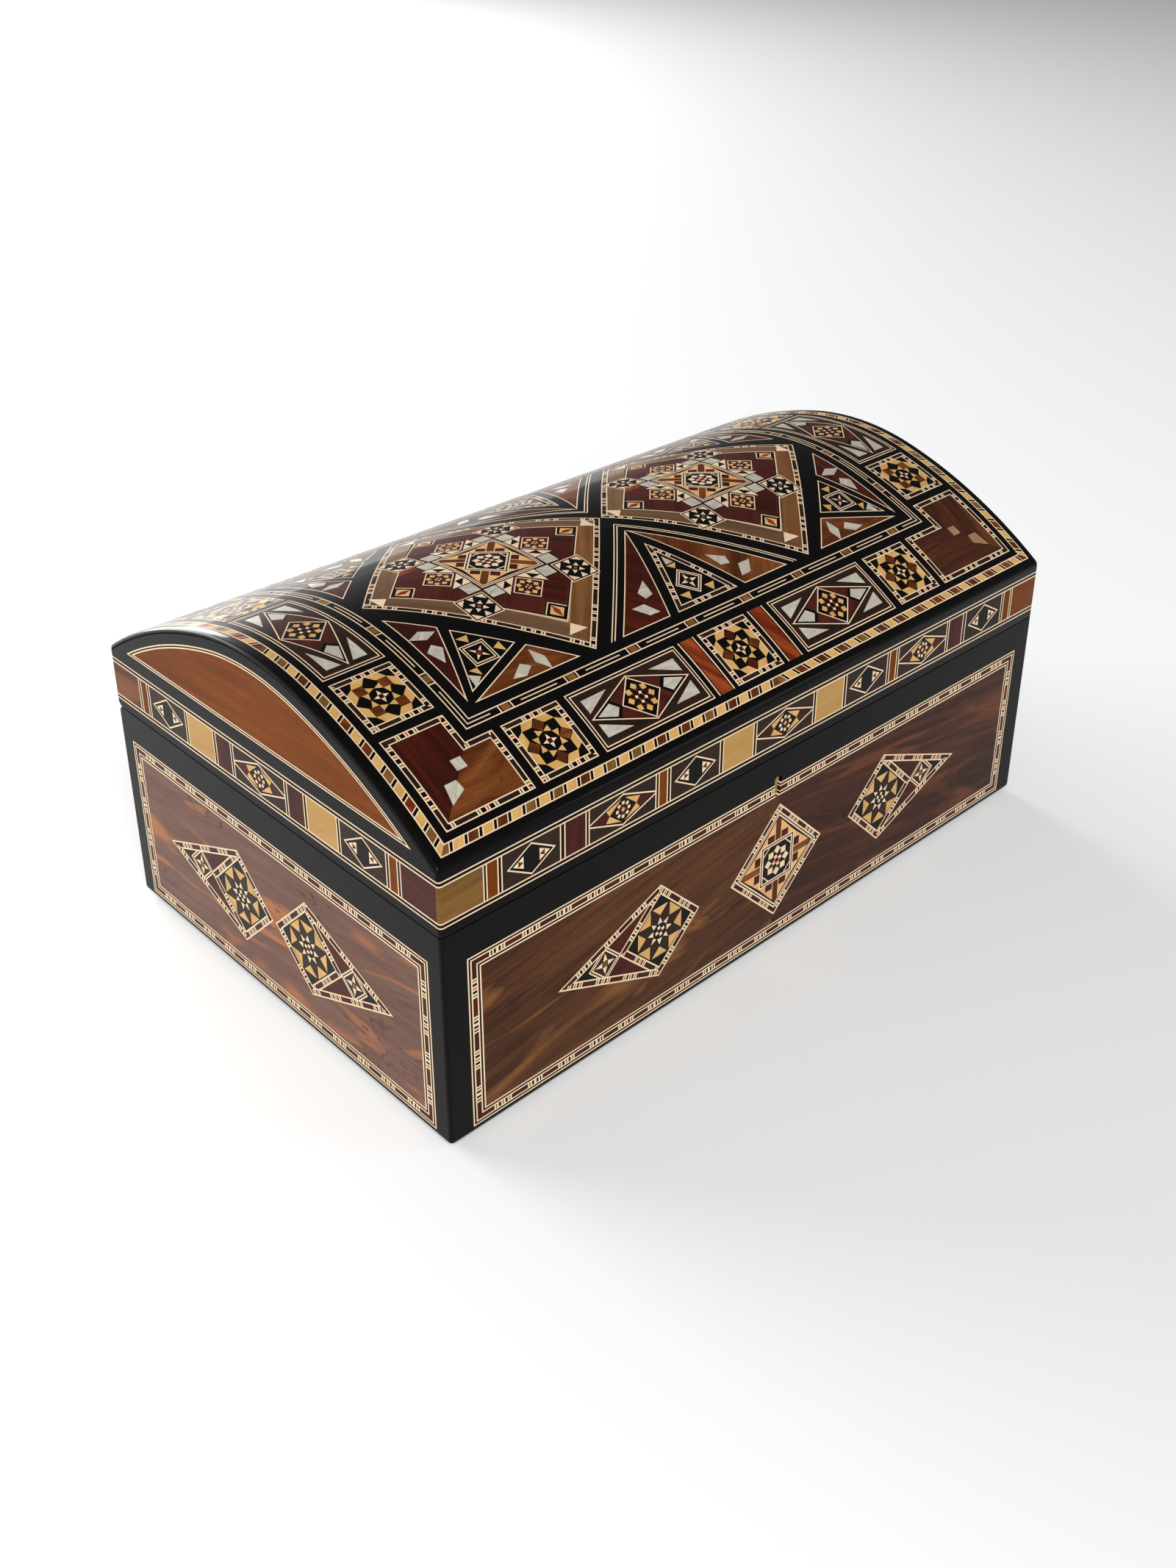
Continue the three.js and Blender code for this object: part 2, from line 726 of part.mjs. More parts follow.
function domePocket(outline, holes, steps) {
  const layer = alongX(archLayer(-2, inlayDepth, halfDepth - 0.5), -halfLength, halfLength);
  const grown = grow(outline, inlayGap);
  const shrunk = holes.map((hole) => grow(hole, -inlayGap));
  return intersect(domePrism(grown, shrunk, steps), layer);
}

function domeFrameOutline(endMargin, sideMargin) {
  const x = halfLength - endMargin;
  const along = arcHalfLength - sideMargin;
  return [point(-x, -along), point(x, -along), point(x, along), point(-x, along)];
}

const domeBanding = {
  outer: domeFrameOutline(domeBandingEndMargin, domeBandingSideMargin),
  inner: domeFrameOutline(
    domeBandingEndMargin + domeBandingWidth, domeBandingSideMargin + domeBandingWidth),
};
const domeFrame = {
  outer: domeFrameOutline(domeFrameEndMargin, domeFrameSideMargin),
  inner: domeFrameOutline(domeFrameEndMargin + domeFrameWidth, domeFrameSideMargin + domeFrameWidth),
};

// The two large squares that stand on their corners and nearly meet in the middle of the dome
function starSquare(side) {
  const right = domeFrame.inner[1].x - starFieldGap;
  const along = domeFrame.inner[2].y - starFieldGap;
  const halfWidth = (right - starFieldGap) / 2;
  const centre = side * (starFieldGap + halfWidth);
  return [
    point(centre - halfWidth, 0), point(centre, -along), point(centre + halfWidth, 0), point(centre, along)];
}

const edgeSteps = 4;

// What lies inside a star square, as shares of its half width: framed squares towards its sides, star
// diamonds and leaves towards its corners, pearl squares between them, and a framed star in the middle
const innerStarStones = [
  ...around([upright(0.107, 0.395, 0.404), onCorner(0.12, 0.409), onCorner(0.061, 0.69)], 4),
  ...around([upright(0.047, 0.325, 0.222), upright(0.047, 0.222, 0.325)], 4),
  ...border(upright(0.259), 0.039),
  ...around([onCorner(0.045, 0.1)], 4),
];

function domeStar(name, side) {
  const outline = starSquare(side);
  const centreX = (outline[0].x + outline[2].x) / 2;
  const halfWidth = (outline[2].x - outline[0].x) / 2;
  const stoneAt = (stone, steps) => domePrism(grow(stone, -jointWidth / 2), [], steps);
  const prisms = [
    ...border(outline, starBorder).map((strip) => stoneAt(strip, edgeSteps)),
    ...border(grow(outline, -starBorder), starWalnut).map((strip) => stoneAt(strip, edgeSteps / 2)),
    ...innerStarStones.map((stone) => stoneAt(placed(stone, halfWidth, centreX, 0), 1)),
  ];
  const ground = intersect(domePrism(outline, [], edgeSteps), domeLayer(jointDepth, inlayDepth - curveGap));
  const raised = intersect(join(...prisms), domeLayer(0, jointDepth + glueLine));
  return piece(name, join(ground, raised), 'mosaic');
}

// The ebony sheet over the dome: it turns down at the front and back and is rounded at its ends
function domeVeneer() {
  const roundSteps = 3;
  const endRadius = Math.min(edgeRadius, veneerThickness * 0.8);
  const insideRadius = Math.max(creaseRadius - veneerThickness, 0) / 6;
  const inner = domeSheetEdge(veneerThickness, insideRadius).reverse();
  const outlines = [];
  const levels = [];
  for (let i = 0; i <= roundSteps; i++) {
    const angle = 90 * degrees * i / roundSteps;
    const inset = endRadius * (1 - Math.sin(angle));
    outlines.push([...domeSheetEdge(inset, creaseRadius - inset), ...inner]);
    levels.push(-halfLength + endRadius * (1 - Math.cos(angle)));
  }
  const count = outlines.length;
  for (let i = count - 1; i >= 0; i--) {
    outlines.push(outlines[i]);
    levels.push(-levels[i]);
  }
  const sheet = loft(outlines, levels).applyMatrix4(sectionToWorld);
  const pockets = [
    domePocket(domeBanding.outer, [domeBanding.inner], 1),
    domePocket(domeFrame.outer, [domeFrame.inner], 1),
    domePocket(starSquare(-1), [], edgeSteps),
    domePocket(starSquare(1), [], edgeSteps),
  ];
  return piece('lid_dome_veneer', subtract(sheet, ...pockets), 'ebony');
}

function domeInlays() {
  return [
    domeInlay('dome_edge_banding', domeBanding.outer, [domeBanding.inner]),
    domeInlay('dome_inner_frame', domeFrame.outer, [domeFrame.inner]),
    domeStar('dome_left_star_square', -1),
    domeStar('dome_right_star_square', 1),
  ];
}

// Lid walls: straight sheets front and back, arched sheets with a plain tympanum at the ends
function lidSheets() {
  const top = noseFoot - glueLine;
  const longDistance = halfDepth - veneerThickness;
  const endDistance = halfLength - veneerThickness;
  const groups = [];
  for (const [face, yaw] of [['front', 0], ['back', Math.PI]]) {
    const { turned, standing } = wallFrame(yaw, longDistance);
    standing.add(piece('lid_' + face + '_veneer', longSheet(lidFoot, top), 'ebony'));
    groups.push(turned);
  }
  const tympanumFoot = creaseHeight + tympanumFootRise;
  const footAngle = Math.acos((tympanumFoot - flankCentreZ) / (flankRadius - tympanumInset));
  const tympanumHalfWidth = archPoint(footAngle, tympanumInset).x;
  const tympanum = archPoints(tympanumInset, -tympanumHalfWidth, tympanumHalfWidth);
  const pocket = grow([...tympanum].reverse(), inlayGap);
  for (const [face, yaw] of [['left', -Math.PI / 2], ['right', Math.PI / 2]]) {
    const { turned, standing } = wallFrame(yaw, endDistance);
    const arch = underArch(boardOuterOffset, endSheetHalfWidth, lidFoot);
    const sheet = plate(arch, veneerThickness, [pocket]);
    standing.add(piece('lid_' + face + '_veneer', sheet, 'ebony'));
    const infill = plate([...tympanum].reverse(), veneerThickness);
    standing.add(piece('lid_' + face + '_tympanum', infill, 'orangewood'));
    groups.push(turned);
  }
  return groups;
}

// Soft linings of the lid
function lidLinings() {
  const halfX = liningHalfLength - curveGap;
  const halfY = liningHalfDepth - curveGap;
  const underOffset = frameOffset + liningThickness;
  const dome = alongX(archLayer(frameOffset, underOffset, halfY), -halfX, halfX);
  const ring = ringAround(
    liningHalfLength, liningHalfDepth, liningThickness, lidFoot + liningSetback, boxHeight);
  const space = alongX(
    underArch(underOffset + curveGap, liningHalfDepth + 1, lidFoot), -halfLength, halfLength);
  return [
    piece('lid_dome_lining', dome, 'velvet'),
    piece('lid_wall_lining', intersect(ring, space), 'velvet'),
  ];
}

// Hinges: each is two leaves with interleaved knuckles on one pin
const knuckleLength = hingeLength / knuckleCount;

// A leaf lies against the edge of its board; up is 1 for the lid's leaf and -1 for the base's
function hingeLeaf(name, up, ownsFirst, finish) {
  const edge = up * seamGap / 2;
  const low = Math.min(edge, edge + up * leafThickness);
  const high = Math.max(edge, edge + up * leafThickness);
  const halfSpan = hingeLength / 2;
  let leaf = block(-halfSpan, halfSpan, -leafWidth, 0, low, high);
  const notches = [];
  const knuckles = [];
  for (let i = 0; i < knuckleCount; i++) {
    const start = -halfSpan + i * knuckleLength;
    if ((i % 2 === 0) === ownsFirst) {
      const from = i === 0 ? start : start + knuckleGap / 2;
      const to = i === knuckleCount - 1 ? start + knuckleLength : start + knuckleLength - knuckleGap / 2;
      knuckles.push(barAlongX(knuckleRadius, barrelSides, from, to, 0, 0));
    } else {
      notches.push(block(
        start - knuckleGap / 2, start + knuckleLength + knuckleGap / 2,
        -knuckleRadius - curveGap, knuckleRadius, -knuckleRadius, knuckleRadius));
    }
  }
  leaf = join(subtract(leaf, ...notches), ...knuckles);
  const bore = barAlongX(pinRadius + pinClearance, barrelSides, -halfSpan - 1, halfSpan + 1, 0, 0);
  const holes = [];
  for (const x of [-halfSpan * 0.7, 0, halfSpan * 0.7]) {
    const wide = up > 0 ? screwHoleRadius : screwHeadRadius;
    const narrow = up > 0 ? screwHeadRadius : screwHoleRadius;
    const sink = new THREE.CylinderGeometry(wide, narrow, leafThickness + 0.02, 10);
    sink.rotateX(Math.PI / 2);
    holes.push(sink.translate(x, -(leafWidth + knuckleRadius) / 2 - 0.4, (low + high) / 2));
  }
  return piece(name, subtract(leaf, bore, ...holes), finish);
}

function hingePin(name) {
  const halfSpan = hingeLength / 2;
  const shaft = barAlongX(pinRadius, barrelSides, -halfSpan - fittingGap, halfSpan + fittingGap, 0, 0);
  const heads = [-1, 1].map((end) => {
    const inner = end * (halfSpan + fittingGap);
    const outer = inner + end * pinHeadHeight;
    return barAlongX(pinRadius + 0.35, barrelSides, Math.min(inner, outer), Math.max(inner, outer), 0, 0);
  });
  return piece(name, join(shaft, ...heads), 'steel');
}

function hingeParts(side) {
  const label = side < 0 ? 'left' : 'right';
  const parts = {
    base: hingeLeaf('hinge_' + label + '_base_leaf', -1, true, 'brass'),
    lid: hingeLeaf('hinge_' + label + '_lid_leaf', 1, false, 'brass'),
    pin: hingePin('hinge_' + label + '_pin'),
  };
  for (const mesh of Object.values(parts)) mesh.position.set(side * hingeX, hingeY, hingeZ);
  return parts;
}

// What the hinges take out of the wood: a groove that stops the lid, mortises and leaf recesses
function hingeCutters(up) {
  const edge = up > 0 ? lidFoot : seamHeight;
  const reach = 5;
  const fall = reach * Math.tan(openAngle / 2 * degrees);
  const bevel = [
    point(hingeY, edge - up), point(hingeY + reach, edge - up),
    point(hingeY + reach, edge + up * fall), point(hingeY, edge),
  ];
  const cutters = [alongX(up > 0 ? bevel : bevel.reverse(), -halfLength - 1, halfLength + 1)];
  const halfSpan = hingeLength / 2 + fittingGap;
  const barrel = knuckleRadius + curveGap;
  for (const side of [-1, 1]) {
    const x = side * hingeX;
    const barrelSpan = halfSpan + pinHeadHeight + fittingGap;
    cutters.push(barAlongX(barrel, barrelSides, x - barrelSpan, x + barrelSpan, hingeY, hingeZ));
    const deep = edge + up * (leafThickness + glueLine);
    const open = edge - up;
    cutters.push(block(
      x - halfSpan, x + halfSpan, hingeY - leafWidth - fittingGap, hingeY,
      Math.min(deep, open), Math.max(deep, open)));
  }
  return cutters;
}

// The keyhole: a round head over a slot with a rounded foot
const keyholeTop = seamHeight - keyholeDrop;
const keyholeHeadZ = keyholeTop - keyholeHeadRadius;

function keyholeOutline(clearance) {
  const steps = 8;
  const headRadius = keyholeHeadRadius + clearance;
  const slotHalf = keyholeSlotWidth / 2 + clearance;
  const footZ = keyholeTop - keyholeHeight + keyholeSlotWidth / 2;
  const opening = Math.asin(slotHalf / headRadius);
  const outline = [];
  for (let i = 0; i <= 2 * steps; i++) {
    const angle = -Math.PI / 2 + opening + (2 * Math.PI - 2 * opening) * i / (2 * steps);
    outline.push(point(headRadius * Math.cos(angle), keyholeHeadZ + headRadius * Math.sin(angle)));
  }
  for (let i = 0; i <= steps; i++) {
    const angle = Math.PI + Math.PI * i / steps;
    outline.push(point(slotHalf * Math.cos(angle), footZ + slotHalf * Math.sin(angle)));
  }
  return outline;
}

// Runs an outline of (x, z) points along Y
function alongY(outline, y0, y1) {
  return plate(outline, y1 - y0).rotateX(Math.PI / 2).translate(0, y1, 0);
}

const lockBackY = -innerHalfDepth;
const lockFrontY = lockBackY - lockDepth;
const lockFoot = seamHeight - selvedgeThickness - lockHeight;
const lockCavityFrontY = lockFrontY + lockPlate;
const lockCavityBackY = lockBackY - lockPlate;
const lockMiddleY = (lockCavityFrontY + lockCavityBackY) / 2;
const boltZ = keyholeHeadZ + boltRise + boltHeight / 2;
const stapleX = keyholeX + staplePlateX;
const boltEndX = stapleX - stapleThickness / 2 - boltRestGap;
const boltStartX = boltEndX - boltLength;
const studX = boltStartX + boltStudInset;

function keyholeCutter() {
  return alongY(keyholeOutline(0), -halfDepth - 2, lockCavityFrontY - fittingGap).translate(keyholeX, 0, 0);
}

// The case: a front plate with the keyhole, a rim on three sides and the selvedge on top
function lockCase() {
  const halfWidth = lockWidth / 2;
  const shell = block(
    keyholeX - halfWidth, keyholeX + halfWidth, lockFrontY, lockBackY,
    lockFoot, seamHeight - selvedgeThickness);
  const cavity = block(
    keyholeX - halfWidth + lockPlate, keyholeX + halfWidth - lockPlate, lockCavityFrontY, lockBackY + 1,
    lockFoot + lockPlate, seamHeight - selvedgeThickness);
  const selvedge = block(
    keyholeX - selvedgeLength / 2, keyholeX + selvedgeLength / 2, lockFrontY, lockBackY,
    seamHeight - selvedgeThickness, seamHeight);
  const slot = block(
    stapleX - stapleThickness / 2 - stapleSwingGap, stapleX + stapleThickness / 2 + stapleSwingGap,
    lockMiddleY - stapleWidth / 2 - stapleSwingGap, lockMiddleY + stapleWidth / 2 + stapleSwingGap,
    seamHeight - selvedgeThickness - 1, seamHeight + 1);
  const hole = alongY(keyholeOutline(fittingGap), lockFrontY - 1, lockCavityFrontY + 1);
  hole.translate(keyholeX, 0, 0);
  return piece('lock_case', subtract(join(subtract(shell, cavity), selvedge), slot, hole), 'brass');
}

// The back plate closes the case and carries the key post and the stud that guides the bolt
function lockBackPlate() {
  const halfWidth = lockWidth / 2 - lockPlate - fittingGap;
  const cover = block(
    keyholeX - halfWidth, keyholeX + halfWidth, lockCavityBackY, lockBackY - glueLine,
    lockFoot + lockPlate + fittingGap, seamHeight - selvedgeThickness - fittingGap);
  const post = new THREE.CylinderGeometry(keyPostRadius, keyPostRadius, lockDepth + 1, 16);
  post.translate(keyholeX, lockBackY - lockPlate / 2 - (lockDepth + 1) / 2, keyholeHeadZ);
  const studLength = lockCavityBackY - lockCavityFrontY - runningGap;
  const stud = new THREE.CylinderGeometry(boltStudRadius, boltStudRadius, studLength, 16);
  stud.translate(studX + boltThrow, lockCavityBackY - studLength / 2 + 0.01, boltZ);
  return piece('lock_back_plate', join(cover, post, stud), 'brass');
}

// The bolt slides along X: a notched bar with a guide slot and a thinner nose
function lockBolt() {
  const halfThick = boltThickness / 2;
  const low = boltZ - boltHeight / 2;
  const high = boltZ + boltHeight / 2;
  const bar = block(
    boltStartX, boltEndX - boltNoseLength, lockMiddleY - halfThick, lockMiddleY + halfThick, low, high);
  const nose = block(
    boltEndX - boltNoseLength - 1, boltEndX, lockMiddleY - boltNoseThickness / 2,
    lockMiddleY + boltNoseThickness / 2, low, high);
  const slotHalf = boltStudRadius + runningGap;
  const slot = block(
    studX - slotHalf, studX + boltThrow + slotHalf, lockMiddleY - boltThickness,
    lockMiddleY + boltThickness,
    boltZ - slotHalf, boltZ + slotHalf);
  const talonX = keyholeX - boltThrow / 2;
  const talon = block(
    talonX - talonWidth / 2, talonX + talonWidth / 2, lockMiddleY - boltThickness,
    lockMiddleY + boltThickness, low - 1, low + talonDepth);
  return piece('lock_bolt', subtract(join(bar, nose), slot, talon), 'steel');
}

// A bowed leaf spring under the selvedge bears on the bolt and keeps it where it is put
function lockSpring() {
  const steps = 10;
  const boltTop = boltZ + boltHeight / 2 + runningGap;
  const roof = seamHeight - selvedgeThickness - glueLine;
  const sag = roof - springThickness - boltTop;
  const upper = [];
  const lower = [];
  for (let i = 0; i <= steps; i++) {
    const t = i / steps;
    const bow = sag * Math.sin(Math.PI * t);
    upper.push(point(boltStartX + springSpan * t, roof - bow));
    lower.push(point(boltStartX + springSpan * t, roof - springThickness - bow));
  }
  const outline = [...lower, ...upper.reverse()];
  const strip = alongY(outline, lockMiddleY - springWidth / 2, lockMiddleY + springWidth / 2);
  return piece('lock_spring', strip, 'steel');
}

// The strike plate in the lid, with the staple that drops into the lock
function strikePlate() {
  const sole = block(
    stapleX - strikePlateLength / 2, stapleX + strikePlateLength / 2, lockFrontY, lockBackY - 0.4,
    lidFoot, lidFoot + leafThickness);
  const eyeHalfHeight = boltHeight / 2 + runningGap;
  const foot = boltZ - eyeHalfHeight - stapleWall;
  const post = block(
    stapleX - stapleThickness / 2, stapleX + stapleThickness / 2, lockMiddleY - stapleWidth / 2,
    lockMiddleY + stapleWidth / 2, foot, lidFoot + leafThickness / 2);
  const eye = block(
    stapleX - stapleThickness, stapleX + stapleThickness, lockMiddleY - boltNoseThickness / 2 - runningGap,
    lockMiddleY + boltNoseThickness / 2 + runningGap, boltZ - eyeHalfHeight, boltZ + eyeHalfHeight);
  return piece('lock_strike_plate', subtract(join(sole, post), eye), 'brass');
}

// What the lock takes out of the front wall and the lid's front rail
function lockCutters() {
  const halfWidth = lockWidth / 2 + fittingGap;
  return [
    block(
      keyholeX - halfWidth, keyholeX + halfWidth, lockFrontY - fittingGap, lockBackY + 1,
      lockFoot - fittingGap, seamHeight + 1),
    block(
      keyholeX - selvedgeLength / 2 - fittingGap, keyholeX + selvedgeLength / 2 + fittingGap,
      lockFrontY - fittingGap, lockBackY + 1, seamHeight - selvedgeThickness - glueLine, seamHeight + 1),
  ];
}

function strikeCutter() {
  const halfSpan = strikePlateLength / 2 + fittingGap;
  return block(
    stapleX - halfSpan, stapleX + halfSpan, lockFrontY - fittingGap, lockBackY + 1,
    lidFoot - 1, lidFoot + leafThickness + glueLine);
}

// Assembly: the base, the lid turning on the hinge line, and the sliding bolt
const jewelryBox = new THREE.Group();
const base = new THREE.Group();
const lid = new THREE.Group();
const lidPieces = new THREE.Group();
jewelryBox.add(base, lid);
lid.position.set(0, hingeY, hingeZ);
lidPieces.position.set(0, -hingeY, -hingeZ);
lid.add(lidPieces);

const hinges = [-1, 1].map(hingeParts);
base.add(floorBoard(), undersideFelt());
base.add(longWall('base_front_wall', -1), longWall('base_back_wall', 1));
base.add(endWall('base_left_wall', -1), endWall('base_right_wall', 1));
base.add(...inlaidWalls());
base.add(floorPad(), baseLining(), lockCase(), lockBackPlate(), lockSpring(), lockBolt());
base.add(...hinges.flatMap((hinge) => [hinge.base, hinge.pin]));

lidPieces.add(lidRail('lid_front_rail', -1), lidRail('lid_back_rail', 1));
lidPieces.add(lidEndBoard('lid_left_end_board', -1), lidEndBoard('lid_right_end_board', 1));
lidPieces.add(domeBoard(), domeVeneer(), ...domeInlays(), ...lidSheets(), ...lidLinings(), strikePlate());
lidPieces.add(...hinges.map((hinge) => hinge.lid));

// Fitting: cuts made through pieces that already stand in place
const named = (name) => jewelryBox.getObjectByName(name);
const backOfBase = ['base_back_wall', 'back_ebony_surround', 'left_ebony_surround', 'right_ebony_surround'];
const backOfLid = ['lid_back_rail', 'lid_back_veneer', 'lid_left_veneer', 'lid_right_veneer'];
carve(backOfBase.map(named), ...hingeCutters(-1));
carve(backOfLid.map(named), ...hingeCutters(1));
carve(['front_ebony_surround', 'front_banding', 'base_front_wall'].map(named), keyholeCutter());
carve([named('base_front_wall')], ...lockCutters());
carve([named('lid_front_rail')], strikeCutter());

export default jewelryBox;
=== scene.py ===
# %% [markdown]
# # An inlaid jewelry box
# The box is a veneered wooden case with a domed lid. Its beauty is marquetry: small pieces of dyed wood,
# bone and mother-of-pearl laid edge to edge and lacquered flat. The wooden case, the hinges and the lock
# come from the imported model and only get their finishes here. The marquetry, the linings and the screws
# are made here. Lengths in the drawings are in millimetres, and Blender's are in metres.

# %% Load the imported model
import cmath
import math
import random

import bmesh
import bpy
from mathutils import Matrix, Vector
from mathutils.geometry import delaunay_2d_cdt


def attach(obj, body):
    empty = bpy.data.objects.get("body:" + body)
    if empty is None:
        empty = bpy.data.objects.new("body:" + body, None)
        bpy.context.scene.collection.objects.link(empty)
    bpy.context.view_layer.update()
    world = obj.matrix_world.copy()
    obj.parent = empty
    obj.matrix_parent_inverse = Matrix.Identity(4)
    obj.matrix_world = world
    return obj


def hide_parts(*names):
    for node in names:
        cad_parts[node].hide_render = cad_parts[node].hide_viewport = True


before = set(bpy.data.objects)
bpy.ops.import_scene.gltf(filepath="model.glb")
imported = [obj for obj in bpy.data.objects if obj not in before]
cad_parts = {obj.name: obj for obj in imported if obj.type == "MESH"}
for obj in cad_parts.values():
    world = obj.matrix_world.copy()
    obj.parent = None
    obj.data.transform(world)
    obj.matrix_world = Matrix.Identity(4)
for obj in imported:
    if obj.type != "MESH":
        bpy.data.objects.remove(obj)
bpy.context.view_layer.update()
MM = 0.001

# %% [markdown]
# ## The camera
# The photograph looks down on the near left corner of the box. The camera's place, its slight roll and
# its lens come from the lines of the box that should meet in the distance. The shift says where the
# middle of the lens falls in the picture, because the picture was trimmed round the box.

# %% Camera
AZIMUTH = math.radians(-44.73)
ELEVATION = math.radians(27.795)
ROLL = math.radians(0.867)
TARGET_SIDE = -12.65 * MM
TARGET_UP = -70.18 * MM
DISTANCE = 565.6 * MM

back = Vector((math.sin(AZIMUTH) * math.cos(ELEVATION),
               -math.cos(AZIMUTH) * math.cos(ELEVATION), math.sin(ELEVATION)))
level = Vector((math.cos(AZIMUTH), math.sin(AZIMUTH), 0))
above = back.cross(level)
right = level * math.cos(ROLL) + above * math.sin(ROLL)
up = above * math.cos(ROLL) - level * math.sin(ROLL)
camera = bpy.data.objects.new("camera", bpy.data.cameras.new("camera"))
bpy.context.collection.objects.link(camera)
camera.matrix_world = Matrix.Translation(
    -right * TARGET_SIDE - up * TARGET_UP + back * DISTANCE
) @ Matrix((right, up, back)).transposed().to_4x4()
camera.data.lens = 38.76
camera.data.shift_x = -0.0313
camera.data.shift_y = -0.0996
camera.data.clip_start = 0.01
bpy.context.scene.camera = camera
print("camera at", [round(c, 3) for c in camera.location])

# %% [markdown]
# ## The studio
# Lacquer shows what it reflects. Seen from the camera, the far side of the dome reflects what stands
# low behind the box, and its near side what hangs high on the right. So a pale wall of light stands
# low at the back, which veils the far side as in the photograph, the right stays dark, and the light
# that shows the colours comes from the near left, where nothing mirrors it towards the camera.

# %% Floor and lights
def soft_light(name, place, width, height, watts, aim=(0, 0, 0.05)):
    """A rectangle of light at a place, turned to face another."""
    light = bpy.data.lights.new(name, "AREA")
    light.shape = "RECTANGLE"
    light.size, light.size_y, light.energy = width, height, watts
    lamp = bpy.data.objects.new(name, light)
    bpy.context.collection.objects.link(lamp)
    lamp.location = place
    lamp.rotation_euler = (Vector(aim) - Vector(place)).to_track_quat("-Z", "Y").to_euler()


soft_light("key_light", (-1.1, -1.5, 1.5), 1.3, 1.3, 58)
soft_light("fill_light", (1.3, -1.7, 0.9), 1.0, 0.8, 7)
soft_light("back_wall_light", (-0.3, 1.8, 0.35), 2.2, 0.8, 92, aim=(0, 0, 0.1))

world = bpy.data.worlds.new("studio")
bpy.context.scene.world = world
world.use_nodes = True
sky = world.node_tree.nodes["Background"].inputs
sky["Color"].default_value = (0.9, 0.93, 1.0, 1)
sky["Strength"].default_value = 0.22

bpy.ops.object.select_all(action="DESELECT")
bpy.ops.mesh.primitive_plane_add(size=8, location=(0, 0, 0))
floor = bpy.context.object
floor.name = "floor"
paper = bpy.data.materials.new("floor_paper")
paper.use_nodes = True
paper_look = paper.node_tree.nodes["Principled BSDF"].inputs
paper_look["Base Color"].default_value = (0.83, 0.83, 0.82, 1)
paper_look["Roughness"].default_value = 0.8
floor.data.materials.append(paper)
bpy.context.scene.view_settings.view_transform = "Standard"

# %% [markdown]
# ## Wood grain
# Every wood here has the same make-up: broad bands from its growth, finer streaks along the fibres, and
# short dark pores. One node group draws all three from a flat picture of the board, with the fibres
# along X in millimetres, and each wood gives it its own colours and strengths. Figured woods also have
# warm zones with dark wavy veins at their edge, which come from the same slow noise.

# %% Helpers for node trees
COLOR, VALUE, VECTOR = "NodeSocketColor", "NodeSocketFloat", "NodeSocketVector"


def add(tree, kind, settings=None, **inputs):
    """Adds a node; an input is a value, or a socket to link."""
    node = tree.nodes.new(kind)
    for key, value in (settings or {}).items():
        setattr(node, key, value)
    for key, value in inputs.items():
        socket = node.inputs[int(key[1:]) if key[0] == "_" else key.replace("_", " ")]
        if isinstance(value, bpy.types.NodeSocket):
            tree.links.new(value, socket)
        else:
            socket.default_value = value
    return node


def new_group(name, inputs, outputs):
    """An empty node group, with its inner ends; inputs and outputs are names and kinds."""
    tree = bpy.data.node_groups.new(name, "ShaderNodeTree")
    for label, kind in inputs:
        tree.interface.new_socket(label, in_out="INPUT", socket_type=kind)
    for label, kind in outputs:
        tree.interface.new_socket(label, in_out="OUTPUT", socket_type=kind)
    return tree, tree.nodes.new("NodeGroupInput").outputs, tree.nodes.new("NodeGroupOutput")


def stretched_noise(tree, vector, along, across, detail, distortion=0.0):
    """Noise drawn out along X, with its two scales in spots per unit."""
    scaled = add(tree, "ShaderNodeVectorMath", {"operation": "MULTIPLY"},
                 _0=vector, _1=(along, across, across))
    return add(tree, "ShaderNodeTexNoise", Vector=scaled.outputs[0], Scale=1.0, Detail=detail,
               Roughness=0.6, Distortion=distortion).outputs["Fac"]


def ramp(tree, value, low, high):
    return add(tree, "ShaderNodeMapRange", {"clamp": True}, Value=value,
               From_Min=low, From_Max=high, To_Min=0.0, To_Max=1.0).outputs["Result"]


def mixed(tree, factor, first, second, blend="MIX"):
    node = add(tree, "ShaderNodeMix", {"data_type": "RGBA", "blend_type": blend}, Factor=factor)
    for socket, value in ((node.inputs[6], first), (node.inputs[7], second)):
        if isinstance(value, bpy.types.NodeSocket):
            tree.links.new(value, socket)
        else:
            socket.default_value = (*value, 1)
    return node.outputs[2]


def maths(tree, operation, first, second):
    return add(tree, "ShaderNodeMath", {"operation": operation}, _0=first, _1=second).outputs[0]


# %% [markdown]
# ## Grain
# Every wood of the box shares one drawing of grain: long fibres, short pores, growth bands, and a
# flamed figure where a wood has one. It's made in the board's own length, so a cutting shows the grain
# along the way in which it was sawn. One shared group keeps the woods alike and easy to change.

